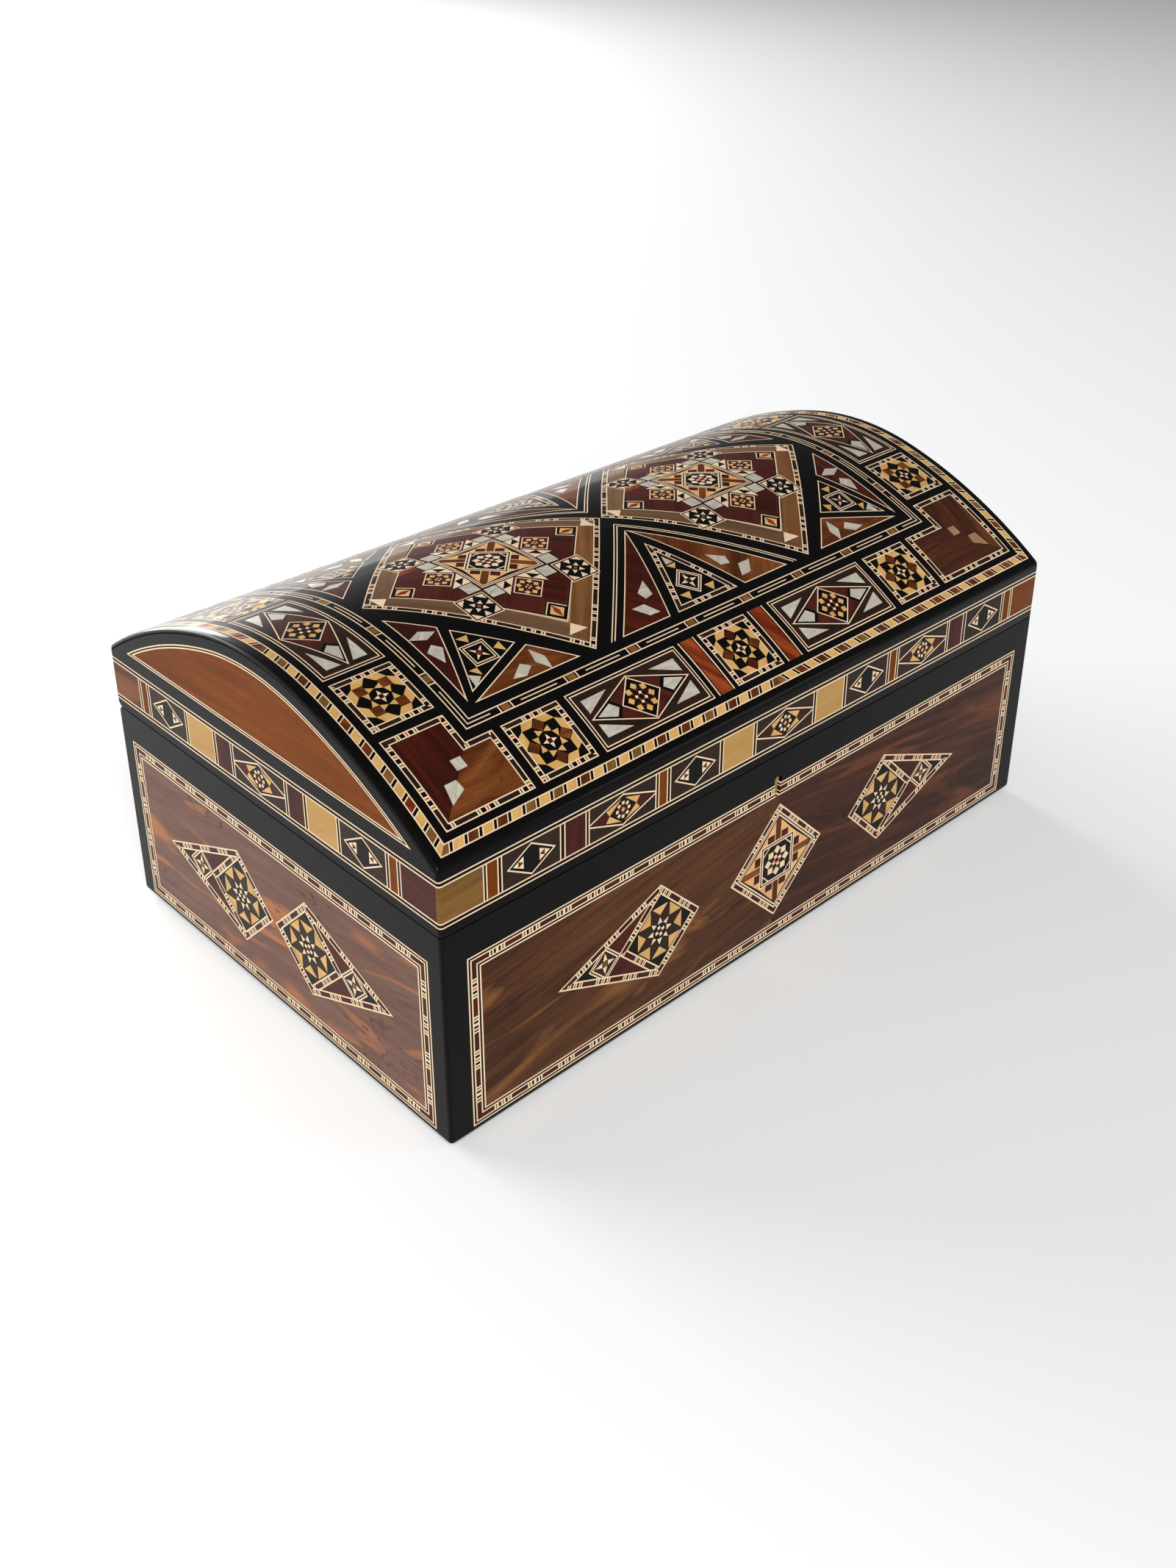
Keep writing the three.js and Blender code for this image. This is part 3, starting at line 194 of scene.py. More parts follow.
# %% The grain node group
def make_grain():
    """Growth bands, fibres and pores, with a warm zone and dark veins where the wood is figured."""
    tree, given, result = new_group(
        "wood_grain",
        [("Board", VECTOR), ("Light", COLOR), ("Dark", COLOR), ("Streak", COLOR), ("Warm", COLOR),
         ("Bands", VALUE), ("Fibres", VALUE), ("Pores", VALUE), ("Flame", VALUE)],
        [("Color", COLOR), ("Roughness", VALUE), ("Height", VALUE)])
    board = given["Board"]
    tone = ramp(tree, stretched_noise(tree, board, 0.012, 0.035, 1.0), 0.3, 0.7)
    bands = ramp(tree, stretched_noise(tree, board, 0.02, 0.32, 3.0, 0.6), 0.32, 0.68)
    fibres = ramp(tree, stretched_noise(tree, board, 0.09, 2.6, 3.0), 0.3, 0.72)
    pores = ramp(tree, stretched_noise(tree, board, 0.35, 4.5, 2.0), 0.6, 0.72)
    figure = maths(tree, "MULTIPLY", bands, given["Bands"])
    figure = maths(tree, "ADD", figure, maths(tree, "MULTIPLY", tone, 0.35))
    color = mixed(tree, figure, given["Light"], given["Dark"])
    growth = stretched_noise(tree, board, 0.014, 0.05, 2.0, 1.4)
    zone = maths(tree, "MULTIPLY", ramp(tree, growth, 0.53, 0.63), given["Flame"])
    color = mixed(tree, zone, color, given["Warm"])
    wave = maths(tree, "PINGPONG", maths(tree, "MULTIPLY", growth, 13.0), 0.5)
    place = ramp(tree, stretched_noise(tree, board, 0.03, 0.06, 1.0), 0.5, 0.66)
    figured = maths(tree, "MULTIPLY", place, given["Flame"])
    vein = maths(tree, "MULTIPLY", ramp(tree, wave, 0.12, 0.0), figured)
    color = mixed(tree, maths(tree, "MULTIPLY", vein, 0.8), color, given["Streak"])
    color = mixed(tree, maths(tree, "MULTIPLY", fibres, given["Fibres"]), color, given["Dark"])
    color = mixed(tree, maths(tree, "MULTIPLY", pores, given["Pores"]), color, given["Streak"])
    tree.links.new(color, result.inputs["Color"])
    tree.links.new(maths(tree, "ADD", maths(tree, "MULTIPLY", fibres, 0.12), 0.34),
                   result.inputs["Roughness"])
    tree.links.new(maths(tree, "ADD", maths(tree, "MULTIPLY", fibres, 0.4),
                         maths(tree, "MULTIPLY", pores, -0.6)), result.inputs["Height"])
    return tree


grain = make_grain()
print("grain group with", len(grain.nodes), "nodes")

# %% [markdown]
# ## The woods, bone and mother-of-pearl
# A cut piece carries its own UV map, "grain", which turns the board to the way its fibres run, so every
# piece of the same wood looks like a different cutting from the board. Clear lacquer lies over all of
# them as a coat.

# %% Materials of the marquetry
def rgb(red, green, blue):
    """A colour as a screen shows it, 0 to 255, turned into light."""
    return tuple(((c / 255 + 0.055) / 1.055) ** 2.4 if c > 10 else c / 3294.6 for c in (red, green, blue))


def ink(colour):
    return (*rgb(*colour), 1)


def new_material(name, roughness=0.4, metallic=0.0, **values):
    """A material, its node tree and its shader, with the shader's constant values set."""
    material = bpy.data.materials.new(name)
    material.use_nodes = True
    shader = material.node_tree.nodes["Principled BSDF"]
    shader.inputs["Roughness"].default_value = roughness
    shader.inputs["Metallic"].default_value = metallic
    for key, value in values.items():
        shader.inputs[key.replace("_", " ")].default_value = value
    return material, material.node_tree, shader


def dress(tree, shader, group, strength, rise=0.0001):
    """Joins a finish to its shader: its colour, its roughness if it has one, and its relief."""
    tree.links.new(group.outputs["Color"], shader.inputs["Base Color"])
    if "Roughness" in group.outputs:
        tree.links.new(group.outputs["Roughness"], shader.inputs["Roughness"])
    relief = add(tree, "ShaderNodeBump", Strength=strength, Distance=rise, Height=group.outputs["Height"])
    tree.links.new(relief.outputs["Normal"], shader.inputs["Normal"])


def grain_coordinates(tree, along="uv"):
    """The board's flat picture in millimetres: the piece's own map, or the box's X or Y."""
    if along == "uv":
        return add(tree, "ShaderNodeUVMap", {"uv_map": "grain"}).outputs["UV"]
    turn = {"X": (0, 0, 0), "Y": (0, 0, math.pi / 2)}[along]
    place = add(tree, "ShaderNodeTexCoord").outputs["Object"]
    return add(tree, "ShaderNodeMapping", Vector=place, Rotation=turn, Scale=(1000, 1000, 1000)).outputs[0]


def wood(name, light, dark, streak, bands, fibres, pores, warm=(0, 0, 0), flame=0.0, lacquer=0.42,
         along="uv"):
    """Lacquered wood: three colours, how strongly its grain shows, and its figure."""
    material, tree, shader = new_material(name, Coat_Weight=lacquer, Coat_Roughness=0.07, Coat_IOR=1.2,
                                          Specular_IOR_Level=0.03)
    group = add(tree, "ShaderNodeGroup", {"node_tree": grain}, Board=grain_coordinates(tree, along),
                Light=ink(light), Dark=ink(dark), Streak=ink(streak), Warm=ink(warm),
                Bands=bands, Fibres=fibres, Pores=pores, Flame=flame)
    dress(tree, shader, group, 0.05)
    return material


def make_pearl(name, shade):
    """Shell with soft clouds and fine lines in it, tinted by a shade."""
    material, tree, shader = new_material(name, roughness=0.3, Coat_Weight=0.7, Coat_Roughness=0.05,
                                          Coat_IOR=1.3)
    place = grain_coordinates(tree)
    cloud = stretched_noise(tree, place, 0.12, 0.3, 3.0, 1.5)
    lines = stretched_noise(tree, place, 0.15, 1.6, 2.0, 0.8)
    color = mixed(tree, ramp(tree, cloud, 0.35, 0.65), rgb(192, 186, 168), rgb(154, 152, 138))
    color = mixed(tree, ramp(tree, cloud, 0.5, 0.75), color, rgb(192, 170, 154))
    color = mixed(tree, ramp(tree, lines, 0.55, 0.8), color, rgb(136, 130, 112))
    color = mixed(tree, 1.0, color, shade, blend="MULTIPLY")
    tree.links.new(color, shader.inputs["Base Color"])
    return material


NO_FIGURE = ((0, 0, 0), 0.0)
WOODS = {
    "bone": ((226, 202, 170), (200, 170, 136), (164, 130, 98), 0.3, 0.25, 0.25),
    "lemonwood": ((206, 166, 104), (180, 136, 74), (138, 98, 50), 0.6, 0.4, 0.3),
    "boxwood": ((178, 142, 86), (156, 118, 64), (120, 84, 44), 0.6, 0.4, 0.3),
    "peachwood": ((220, 172, 118), (196, 144, 90), (152, 104, 62), 0.6, 0.4, 0.3),
    "ebony": ((12, 10, 9), (6, 5, 5), (24, 19, 15), 0.5, 0.4, 0.4),
    "blackwood": ((52, 34, 25), (30, 20, 14), (16, 10, 7), 0.8, 0.5, 0.6),
    "walnut": ((98, 60, 32), (56, 30, 15), (27, 13, 7), 0.9, 0.45, 0.7, (132, 86, 44), 0.7),
    "walnut_red": ((82, 44, 28), (42, 21, 14), (24, 10, 10), 0.9, 0.45, 0.7, (104, 58, 33), 0.8),
    "pale_walnut": ((120, 90, 64), (88, 62, 42), (56, 38, 26), 0.8, 0.4, 0.5),
    "golden_walnut": ((136, 92, 54), (94, 58, 30), (58, 32, 16), 0.9, 0.4, 0.5),
    "kingwood": ((112, 82, 70), (86, 58, 48), (40, 20, 17), 0.6, 0.35, 0.35, (160, 100, 58), 1.0),
    "rosewood": ((80, 28, 16), (46, 16, 9), (26, 9, 6), 0.9, 0.4, 0.6),
    "plumwood": ((84, 36, 26), (54, 20, 16), (30, 11, 9), 0.8, 0.4, 0.5),
    "russet": ((108, 57, 23), (66, 31, 12), (38, 16, 7), 0.9, 0.5, 0.7, (136, 80, 38), 0.6),
    "padauk": ((168, 78, 36), (92, 32, 13), (48, 16, 8), 1.0, 0.6, 0.8),
    "orangewood": ((120, 62, 11), (88, 41, 5), (60, 26, 4), 0.7, 0.5, 0.5, *NO_FIGURE, 0.12),
    "olive": ((132, 98, 48), (90, 62, 28), (54, 35, 15), 0.8, 0.5, 0.5),
    "green_dyed": ((118, 122, 66), (92, 96, 46), (70, 74, 34), 0.5, 0.4, 0.3),
    "red_dyed": ((190, 92, 70), (156, 64, 48), (120, 44, 32), 0.5, 0.4, 0.3),
    "backing_ply": ((176, 138, 98), (140, 104, 70), (104, 74, 48), 0.5, 0.4, 0.4, *NO_FIGURE, 0.0),
}
MATERIALS = {name: wood(name, *look) for name, look in WOODS.items()}
MATERIALS["pearl"] = make_pearl("mother_of_pearl", (1, 1, 1))
MATERIALS["tan_pearl"] = make_pearl("tan_pearl", (0.62, 0.4, 0.24))
print(len(MATERIALS), "marquetry materials")

# %% [markdown]
# ## Drawing with cut shapes
# A drawing is a list of cuttings in the order they are laid: a wood, its corners, and the way its grain
# runs. Where two overlap, the later one shows. A corner is a complex number, x + yi, because turning a
# shape is then one multiplication.

# %% Shapes
def area(points):
    """The area inside a shape, below zero if its corners run clockwise."""
    return sum((a.conjugate() * b).imag for a, b in zip(points, points[1:] + points[:1])) / 2


def anticlockwise(points):
    return points if area(points) > 0 else points[::-1]


def shape(*numbers):
    """A shape from its corners as x, y, x, y and so on."""
    return anticlockwise([complex(x, y) for x, y in zip(numbers[::2], numbers[1::2])])


def cut(wood, *numbers, lean=None):
    """A cutting of a wood, with its corners as x, y, x, y and so on."""
    return wood, shape(*numbers), lean


def box_shape(x0, x1, y0, y1):
    return shape(x0, y0, x1, y0, x1, y1, x0, y1)


def square(half, centre=0):
    return [centre + half * (1 + 1j) * 1j ** k for k in range(4)]


def diamond(half, centre=0, half_height=None):
    """A square on its corner, or a rhombus if its half height differs."""
    tall = half_height or half
    return [centre + step for step in (half, tall * 1j, -half, -tall * 1j)]


def moved(design, by=0, turn=0, size=1):
    """The design turned and scaled about the origin, then moved."""
    swing = cmath.rect(size, math.radians(turn))
    return [(wood, [by + swing * p for p in points], None if lean is None else lean + turn)
            for wood, points, lean in design]


def mirrored(design, across_x=True):
    """The design seen in a mirror that stands on the y axis, or lies on the x axis."""
    flip = (lambda p: -p.conjugate()) if across_x else (lambda p: p.conjugate())
    return [(wood, anticlockwise([flip(p) for p in points]),
             None if lean is None else (180 if across_x else 0) - lean) for wood, points, lean in design]


def both_sides(design, across_x=True):
    """The design and its mirror image."""
    return design + mirrored(design, across_x)


def four_corners(design):
    return both_sides(both_sides(design), across_x=False)


def around(design, count):
    """Copies of the design in a ring round the origin."""
    return [cutting for k in range(count) for cutting in moved(design, turn=360 * k / count)]


def inset(points, distance):
    """The same shape, smaller by a distance all round; its corners stay sharp."""
    smaller = []
    for before, corner, after in zip(points[-1:] + points[:-1], points, points[1:] + points[:1]):
        come = (corner - before) / abs(corner - before)
        go = (after - corner) / abs(after - corner)
        smaller.append(corner + distance * 1j * (come + go) / (1 + (come.conjugate() * go).real))
    return smaller


def clipped(points, window):
    """What is left of a shape inside a convex window."""
    for a, b in zip(window, window[1:] + window[:1]):
        sides = [((b - a).conjugate() * (p - a)).imag for p in points]
        kept = []
        for k, (p, side) in enumerate(zip(points, sides)):
            q, other = points[k - 1], sides[k - 1]
            if (side > 0) != (other > 0):
                kept.append(q + (p - q) * other / (other - side))
            if side > 0:
                kept.append(p)
        points = kept
        if len(points) < 3:
            return []
    return points


def trimmed(design, window):
    """The part of a design that lies inside a convex window."""
    cut = [(wood, clipped(points, window), lean) for wood, points, lean in design]
    return [(wood, points, lean) for wood, points, lean in cut if points]


# %% [markdown]
# ## Bandings
# The workshops glue long thin slips of wood into a rod and saw strips off its end. Every banding on the
# box is such a strip, cut to length and mitred at the corners: white lines, black lines, and a row of
# small blocks. The rows here are written as wood and length, and are stretched a little to fit a side.

# %% Rows of blocks
def slips(colour, white=0.45, tint=0.5):
    """A coloured slip between two white ones."""
    return [("bone", white), (colour, tint), ("bone", white)]


WALL_ROW = {
    "dash": [("rosewood", 5.4)],
    "groups": [
        slips("green_dyed") + [("ebony", 0.8)] + slips("red_dyed") + [("ebony", 0.75)] + slips("green_dyed"),
        slips("green_dyed") + [("ebony", 0.7), ("bone", 0.8), ("ebony", 0.7)] + slips("rosewood"),
    ],
}
DOME_ROW = {
    "dash": [("blackwood", 6.8)],
    "groups": [
        slips("green_dyed", 0.42) + [("ebony", 1.4)] + slips("red_dyed", 0.42) + [("ebony", 1.4)]
        + slips("green_dyed", 0.42),
    ],
}


def row_length(row):
    return sum(length for _, length in row)


def fitted_row(kind, length, late):
    """Dashes with groups between them; late starts the row part of the way into its pattern."""
    dash, groups = kind["dash"], kind["groups"]
    pitch = row_length(dash) + row_length(groups[0])
    if late is None:
        count = max(1, round((length - row_length(dash)) / pitch))
        row = [block for k in range(count) for block in dash + groups[k % len(groups)]] + dash
        stretch = length / row_length(row)
        return [(wood, run * stretch) for wood, run in row], 0.0
    row = []
    while row_length(row) < length + 2 * pitch:
        row += dash + groups[len(row) % len(groups)]
    return row, -late * pitch


def laid_row(kind, start, end, inner_end, inner_start, width, late):
    """A row of blocks along one mitred side; short blocks have their grain across the row."""
    along = (end - start) / abs(end - start)
    window = [start, end, inner_end, inner_start]
    row, position = fitted_row(kind, abs(end - start), late)
    laid = []
    for wood, run in row:
        near, far = start + along * position, start + along * (position + run)
        across = along * 1j * width
        block = clipped([near, far, far + across, near + across], window)
        if block:
            laid.append((wood, block, math.degrees(cmath.phase(along)) + (90 if run < 1.5 else 0)))
        position += run
    return laid


def bands(points, *layers, sides=None, late=None):
    """Mitred bands round a shape, from the outside in; a layer is a wood or a row, and a width.
    Gives the cuttings and the shape that is left inside."""
    laid = []
    count = len(points)
    for filling, width in layers:
        inner = inset(points, width)
        for k in range(count) if sides is None else sides:
            start, end = points[k], points[(k + 1) % count]
            inner_end, inner_start = inner[(k + 1) % count], inner[k]
            if isinstance(filling, str):
                lean = math.degrees(cmath.phase(end - start))
                laid.append((filling, [start, end, inner_end, inner_start], lean))
            else:
                shift = None if late is None else late + 0.37 * k
                laid += laid_row(filling, start, end, inner_end, inner_start, width, shift)
        points = inner
    return laid, points


def framed(points, ground, *layers, **options):
    """Bands round a shape, and a ground wood inside them."""
    laid, inner = bands(points, *layers, **options)
    return laid + [(ground, inner, None)]


def line(width, *points):
    """A white slip from point to point."""
    laid = []
    for a, b in zip(points, points[1:]):
        side = (b - a) / abs(b - a) * 1j * width / 2
        laid.append(("bone", [a - side, b - side, b + side, a + side], math.degrees(cmath.phase(b - a))))
    return laid


# %% [markdown]
# ## From a drawing to a sheet of marquetry
# Modelling each of the thousands of cuttings as its own block would leave cracks and doubled faces.
# Instead the whole drawing is cut into one flat net of faces, each face takes the wood of the topmost
# cutting, and the net is carried onto the box and closed into a solid sheet by a back and edges. A
# cutting of the wood "pocket" leaves a shallow hollow for an inlay, and of the wood "" a hole.

# %% The sheet builder
POCKET_DEPTH = 0.8
CELL = 4.0


def contains(points, spot):
    """Whether a spot lies inside a shape."""
    inside = False
    for a, b in zip(points, points[1:] + points[:1]):
        if (a.imag > spot.imag) != (b.imag > spot.imag):
            crossing = a.real + (b.real - a.real) * (spot.imag - a.imag) / (b.imag - a.imag)
            inside ^= spot.real < crossing
    return inside


def rounded(spot):
    """A spot moved to the nearest thousandth of a millimetre, so that shared corners coincide."""
    return complex(round(spot.real, 3), round(spot.imag, 3))


def shelved(design):
    """The cuttings sorted into square cells of the drawing, so that a spot's cuttings are found fast."""
    shelf = {}
    for number, (_, outline, _) in enumerate(design):
        xs, ys = [p.real for p in outline], [p.imag for p in outline]
        for column in range(int(min(xs) // CELL), int(max(xs) // CELL) + 1):
            for row in range(int(min(ys) // CELL), int(max(ys) // CELL) + 1):
                shelf.setdefault((column, row), []).insert(0, number)
    return shelf


def net(design, cross_lines):
    """Cuts overlapping shapes into one flat net. Gives its points, triangles and each one's cutting."""
    points, faces, edges = [], [], []
    for _, outline, _ in design:
        faces.append(list(range(len(points), len(points) + len(outline))))
        points += outline
    for a, b in cross_lines:
        edges.append((len(points), len(points) + 1))
        points += [rounded(a), rounded(b)]
    flat, _, found, _, _, _ = delaunay_2d_cdt(
        [Vector((p.real, p.imag)) for p in points], edges, faces, 0, 1e-3)
    shelf = shelved(design)
    kept = []
    for face in found:
        spot = sum(complex(*flat[k]) for k in face) / 3
        near = shelf.get((int(spot.real // CELL), int(spot.imag // CELL)), [])
        top = next((k for k in near if contains(design[k][1], spot)), None)
        if top is not None and design[top][0]:
            kept.append((face, top))
    return flat, kept


def without_slivers(design):
    """Drops the cuttings that are too thin to lay, and corners that coincide."""
    kept = []
    for wood, outline, lean in design:
        outline = [rounded(p) for k, p in enumerate(outline) if abs(p - outline[k - 1]) > 0.01]
        if len(outline) > 2 and abs(area(outline)) > 0.01:
            kept.append((wood, anticlockwise(outline), lean))
    return kept


def marquetry(name, design, place, thickness, body, node, cross_lines=(), seed=1):
    """A closed sheet of marquetry; place turns a flat point and a depth into a point of the box."""
    design = without_slivers(design)
    flat, faces = net(design, cross_lines)
    depth_of = [POCKET_DEPTH if design[top][0] == "pocket" else 0.0 for _, top in faces]
    owner = {(a, b): k for k, (face, _) in enumerate(faces) for a, b in zip(face, face[1:] + face[:1])}
    corners, index_of, polygons = [], {}, []

    def corner(k, depth):
        if (k, depth) not in index_of:
            index_of[k, depth] = len(corners)
            corners.append(place(flat[k].x, flat[k].y, depth) * MM)
        return index_of[k, depth]

    for k, (face, top) in enumerate(faces):
        polygons.append(([corner(i, depth_of[k]) for i in face], face, top))
        polygons.append(([corner(i, thickness) for i in reversed(face)], face[::-1], top))
        for a, b in zip(face, face[1:] + face[:1]):
            beyond = owner.get((b, a))
            low = thickness if beyond is None else depth_of[beyond]
            if low > depth_of[k]:
                wall = [corner(a, depth_of[k]), corner(a, low), corner(b, low), corner(b, depth_of[k])]
                polygons.append((wall, [a, a, b, b], top))
    chance = random.Random(seed)
    swing = []
    for wood, outline, lean in design:
        turn = chance.uniform(0, 180) if lean is None else -lean + chance.uniform(-3, 3)
        start = complex(chance.uniform(-900, 900), chance.uniform(-900, 900))
        swing.append((cmath.rect(1, math.radians(turn)), start))
    woods = sorted({design[top][0] for _, _, top in polygons})
    mesh = bpy.data.meshes.new(name)
    mesh.from_pydata(corners, [], [ids for ids, _, _ in polygons])
    for wood in woods:
        mesh.materials.append(MATERIALS["backing_ply" if wood == "pocket" else wood])
    mesh.polygons.foreach_set("material_index", [woods.index(design[top][0]) for _, _, top in polygons])
    chart = mesh.uv_layers.new(name="grain")
    places = []
    for _, flat_ids, top in polygons:
        turn, start = swing[top]
        for i in flat_ids:
            spot = turn * complex(flat[i].x, flat[i].y) + start
            places += [spot.real, spot.imag]
    chart.data.foreach_set("uv", places)
    mesh.shade_smooth()
    mesh.set_sharp_from_angle(angle=math.radians(25))
    piece = bpy.data.objects.new(name, mesh)
    bpy.context.collection.objects.link(piece)
    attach(piece, body)
    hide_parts(node)
    print(name, "has", len(design), "cuttings and", len(polygons), "faces")


# %% [markdown]
# ## Where the sheets lie
# A wall's sheet is drawn flat, x along the wall and y up, and laid against it. The sheets of the long
# walls are drawn a little too long and their ends bend round the corner of the box, which is rounded.
# Behind the hinges the lid's foot is planed off at a slant, so that the lid can turn back to its stop.

# %% Walls of the box
HALF_LENGTH = 125.0
HALF_DEPTH = 77.0
SHEET = 1.2
CORNER_RADIUS = 1.0
SEAM, LID_FOOT = 68.5, 68.9
HINGE_Y = 75.2
LID_TURN = math.radians(98)
YAW = {"front": 0, "back": 180, "left": -90, "right": 90}


def rolled_edge(x, half, radius):
    """Where a point of a sheet that bends round an edge lies: its x, and how far it has dropped."""
    over = abs(x) - (half - radius)
    if over <= 0:
        return x, 0.0
    angle = min(over / radius, math.pi / 2)
    return math.copysign(half - radius + radius * math.sin(angle), x), radius * (1 - math.cos(angle))


def roll_lines(radius, low, high):
    """Cuts across the two ends of a long sheet, so that its net can follow their bend."""
    rolls = [HALF_LENGTH - radius + radius * math.pi / 2 * k / 4 for k in range(5)]
    return [(complex(way * x, low), complex(way * x, high)) for x in rolls for way in (-1, 1)]


def on_wall(side, half=None):
    """Lays a drawing against a wall; with a half length its ends bend round the corners."""
    turn = Matrix.Rotation(math.radians(YAW[side]), 3, "Z")
    distance = HALF_DEPTH if side in ("front", "back") else HALF_LENGTH

    def place(x, y, depth):
        drop = 0.0
        if half:
            x, drop = rolled_edge(x, half, CORNER_RADIUS)
        spot = turn @ Vector((x, max(depth, drop) - distance, y))
        if spot.y > HINGE_Y and spot.z > SEAM:
            spot.z = max(spot.z, LID_FOOT + (spot.y - HINGE_Y) * math.tan(LID_TURN / 2))
        return spot
    return place


# %% [markdown]
# ## The bandings and fields of the four walls
# Each wall has a framed field of figured walnut or kingwood. The front's field is two leaves of walnut
# opened like a book, so the grain mirrors in the middle.

# %% Wall bandings
BAND_LOW, BAND_HIGH = 3.4, 58.55
BAND_HALF = {"front": 117.3, "back": 117.3, "left": 70.9, "right": 70.9}
BAND_WIDTH = 4.35
FIT = 0.08
WALL_LAYERS = (("bone", 0.42), ("ebony", 0.58), ("bone", 0.42), (WALL_ROW, 1.46), ("bone", 0.42),
               ("ebony", 0.6), ("bone", 0.45))


def keyhole():
    """The keyhole's outline: a round head over a slot that is rounded at its foot."""
    head, slot_half, foot, head_height, middle = 1.65, 1.05, 55.25, 59.65, -1.5
    opening = math.asin(slot_half / head)
    top = [cmath.rect(head, -math.pi / 2 + opening + (2 * math.pi - 2 * opening) * k / 16) for k in range(17)]
    bottom = [cmath.rect(slot_half, math.pi + math.pi * k / 8) for k in range(9)]
    return [middle + 1j * head_height + p for p in top] + [middle + 1j * foot + p for p in bottom]


for side, half in BAND_HALF.items():
    outer = inset(box_shape(-half, half, BAND_LOW, BAND_HIGH), -FIT)
    design, inner = bands(outer, *WALL_LAYERS)
    if side == "front":
        design += [("", keyhole(), None)]
    marquetry(side + "_mosaic_banding", design, on_wall(side), SHEET, "base",
              side + "_banding", seed=YAW[side])

# %% [markdown]
# ## The motifs let into the walls
# A kite stands at each end of a wall, and a diamond in the middle of the front and the back. They were
# glued up from sawn rods and sliced, so every kite repeats the same drawing. One drawing is made here
# and used again, mirrored or turned, for all of them.

# %% Motifs of the walls
MOTIF_HEIGHT = (BAND_LOW + BAND_HIGH) / 2


def ring_of_eight(radius, side, tile="bone", ground="blackwood", seeds=("bone", "red_dyed")):
    """Eight small squares in a ring, each with a corner to the middle, round a whirl of four."""
    tilted = [(tile, diamond(side * math.sqrt(0.5), radius), 0)]
    wedge = [cut(ground, radius * 0.5, -side * 0.18, radius * 0.5, side * 0.18, radius * 0.86, side * 0.75,
                            radius * 0.96, 0, radius * 0.86, -side * 0.75, lean=0)]
    seed = radius * 0.37
    whirl = [(seeds[0], square(side * 0.27, seed * 1.05), 0)]
    other = [(seeds[1], square(side * 0.2, seed * 0.7), 0)]
    return (around(wedge, 8) + around(tilted, 8) + moved(around(whirl, 4), turn=22)
            + moved(around(other, 4), turn=67))


def cut_corners(half, leg, width):
    """Slips across the four corners of a straight square."""
    a, b = complex(half, half - leg), complex(half - leg, half)
    return around(line(width, a, b), 4)


def star_of_rays():
    """Sixteen black and yellow rays in a square on its corner, 12 mm from middle to corner."""
    quarter = [
        cut("lemonwood", -3, 8.5, 3, 8.5, 0, 5.45),
        cut("lemonwood", 3.72, 3.65, 8.3, 3.72, 3.78, 8.24),
        cut("bone", 0, 4.75, -0.95, 2.6, 0.95, 2.6),
        cut("bone", 3.45, 3.3, 1.35, 2.45, 2.45, 1.35),
    ]
    heart = moved([("bone", square(0.52), None)], 1.25)
    thorn = [cut("blackwood", 0.1, 5.4, 3.05, 8.45, 3.65, 3.75, 1.3, 2.6)]
    return (around(both_sides(thorn) + quarter, 4) + moved(around(heart, 4), turn=18)
            + [("rosewood", square(0.5), None)])


def small_star(half, middle="olive"):
    """A four-pointed star for the middle of a small diamond."""
    arm = [cut("bone", half * 0.66, 0, half * 0.2, half * 0.15, half * 0.2, -half * 0.15, lean=0)]
    return around(arm, 4) + [(middle, square(half * 0.155), None)]


KITE_HALF = 15.825
KITE_LAYERS = (("bone", 0.45), (WALL_ROW, 1.5), ("bone", 0.45))


def kite(tail):
    """A kite with its head in the middle and its tail to the left."""
    outline = inset(shape(KITE_HALF, 0, 0, KITE_HALF, -tail, 0, 0, -KITE_HALF), -FIT)
    head = diamond(KITE_HALF + FIT * 1.4)
    eye = complex(-tail * 0.554, 0)
    tip = trimmed([("ebony", box_shape(-tail - 1, eye.real, -KITE_HALF, KITE_HALF), 0)], outline)
    ring = framed(diamond(6.1, eye), "blackwood", ("bone", 0.42), ("ebony", 0.35), ("bone", 0.42))
    start = min(range(4), key=lambda k: abs(outline[k] - 1j * KITE_HALF))
    tail_sides = [start, (start + 1) % 4]
    return ([("rosewood", outline, 20)] + tip + ring + moved(small_star(5.4), eye)
            + framed(head, "ebony", *KITE_LAYERS, late=0.1) + star_of_rays()
            + bands(outline, *KITE_LAYERS, sides=tail_sides, late=0.55)[0])


def eye_square(core=7.4, half=15.4):
    """A square on its corner with barred corners round a straight square with a ring of eight."""
    bar = half - core + 1
    corner = [
        cut("peachwood", -core, core, core, core, 0, half, lean=0),
        cut("russet", -1.15, core, 1.15, core, 1.15, core + bar, -1.15, core + bar, lean=90),
    ]
    corner += both_sides([("rosewood", box_shape(1.5, 4.5, core, core + 2.45), None)])
    corner = trimmed(corner, diamond(half))
    middle = framed(square(core), "ebony", ("bone", 0.45), ("ebony", 0.42), ("bone", 0.5))
    inner = core - 1.37
    return (around(corner, 4) + middle + cut_corners(inner, inner * 0.42, 0.38)
            + ring_of_eight(inner * 0.64, inner * 0.345))


CENTRE_HALF = 20.025


def centre_diamond():
    """The diamond under the keyhole."""
    outline = inset(diamond(CENTRE_HALF), -FIT)
    return framed(outline, "ebony", ("bone", 0.5), (WALL_ROW, 1.25), ("bone", 0.45), ("ebony", 0.35),
                  ("bone", 0.45), ("ebony", 0.3), late=0.2) + eye_square()


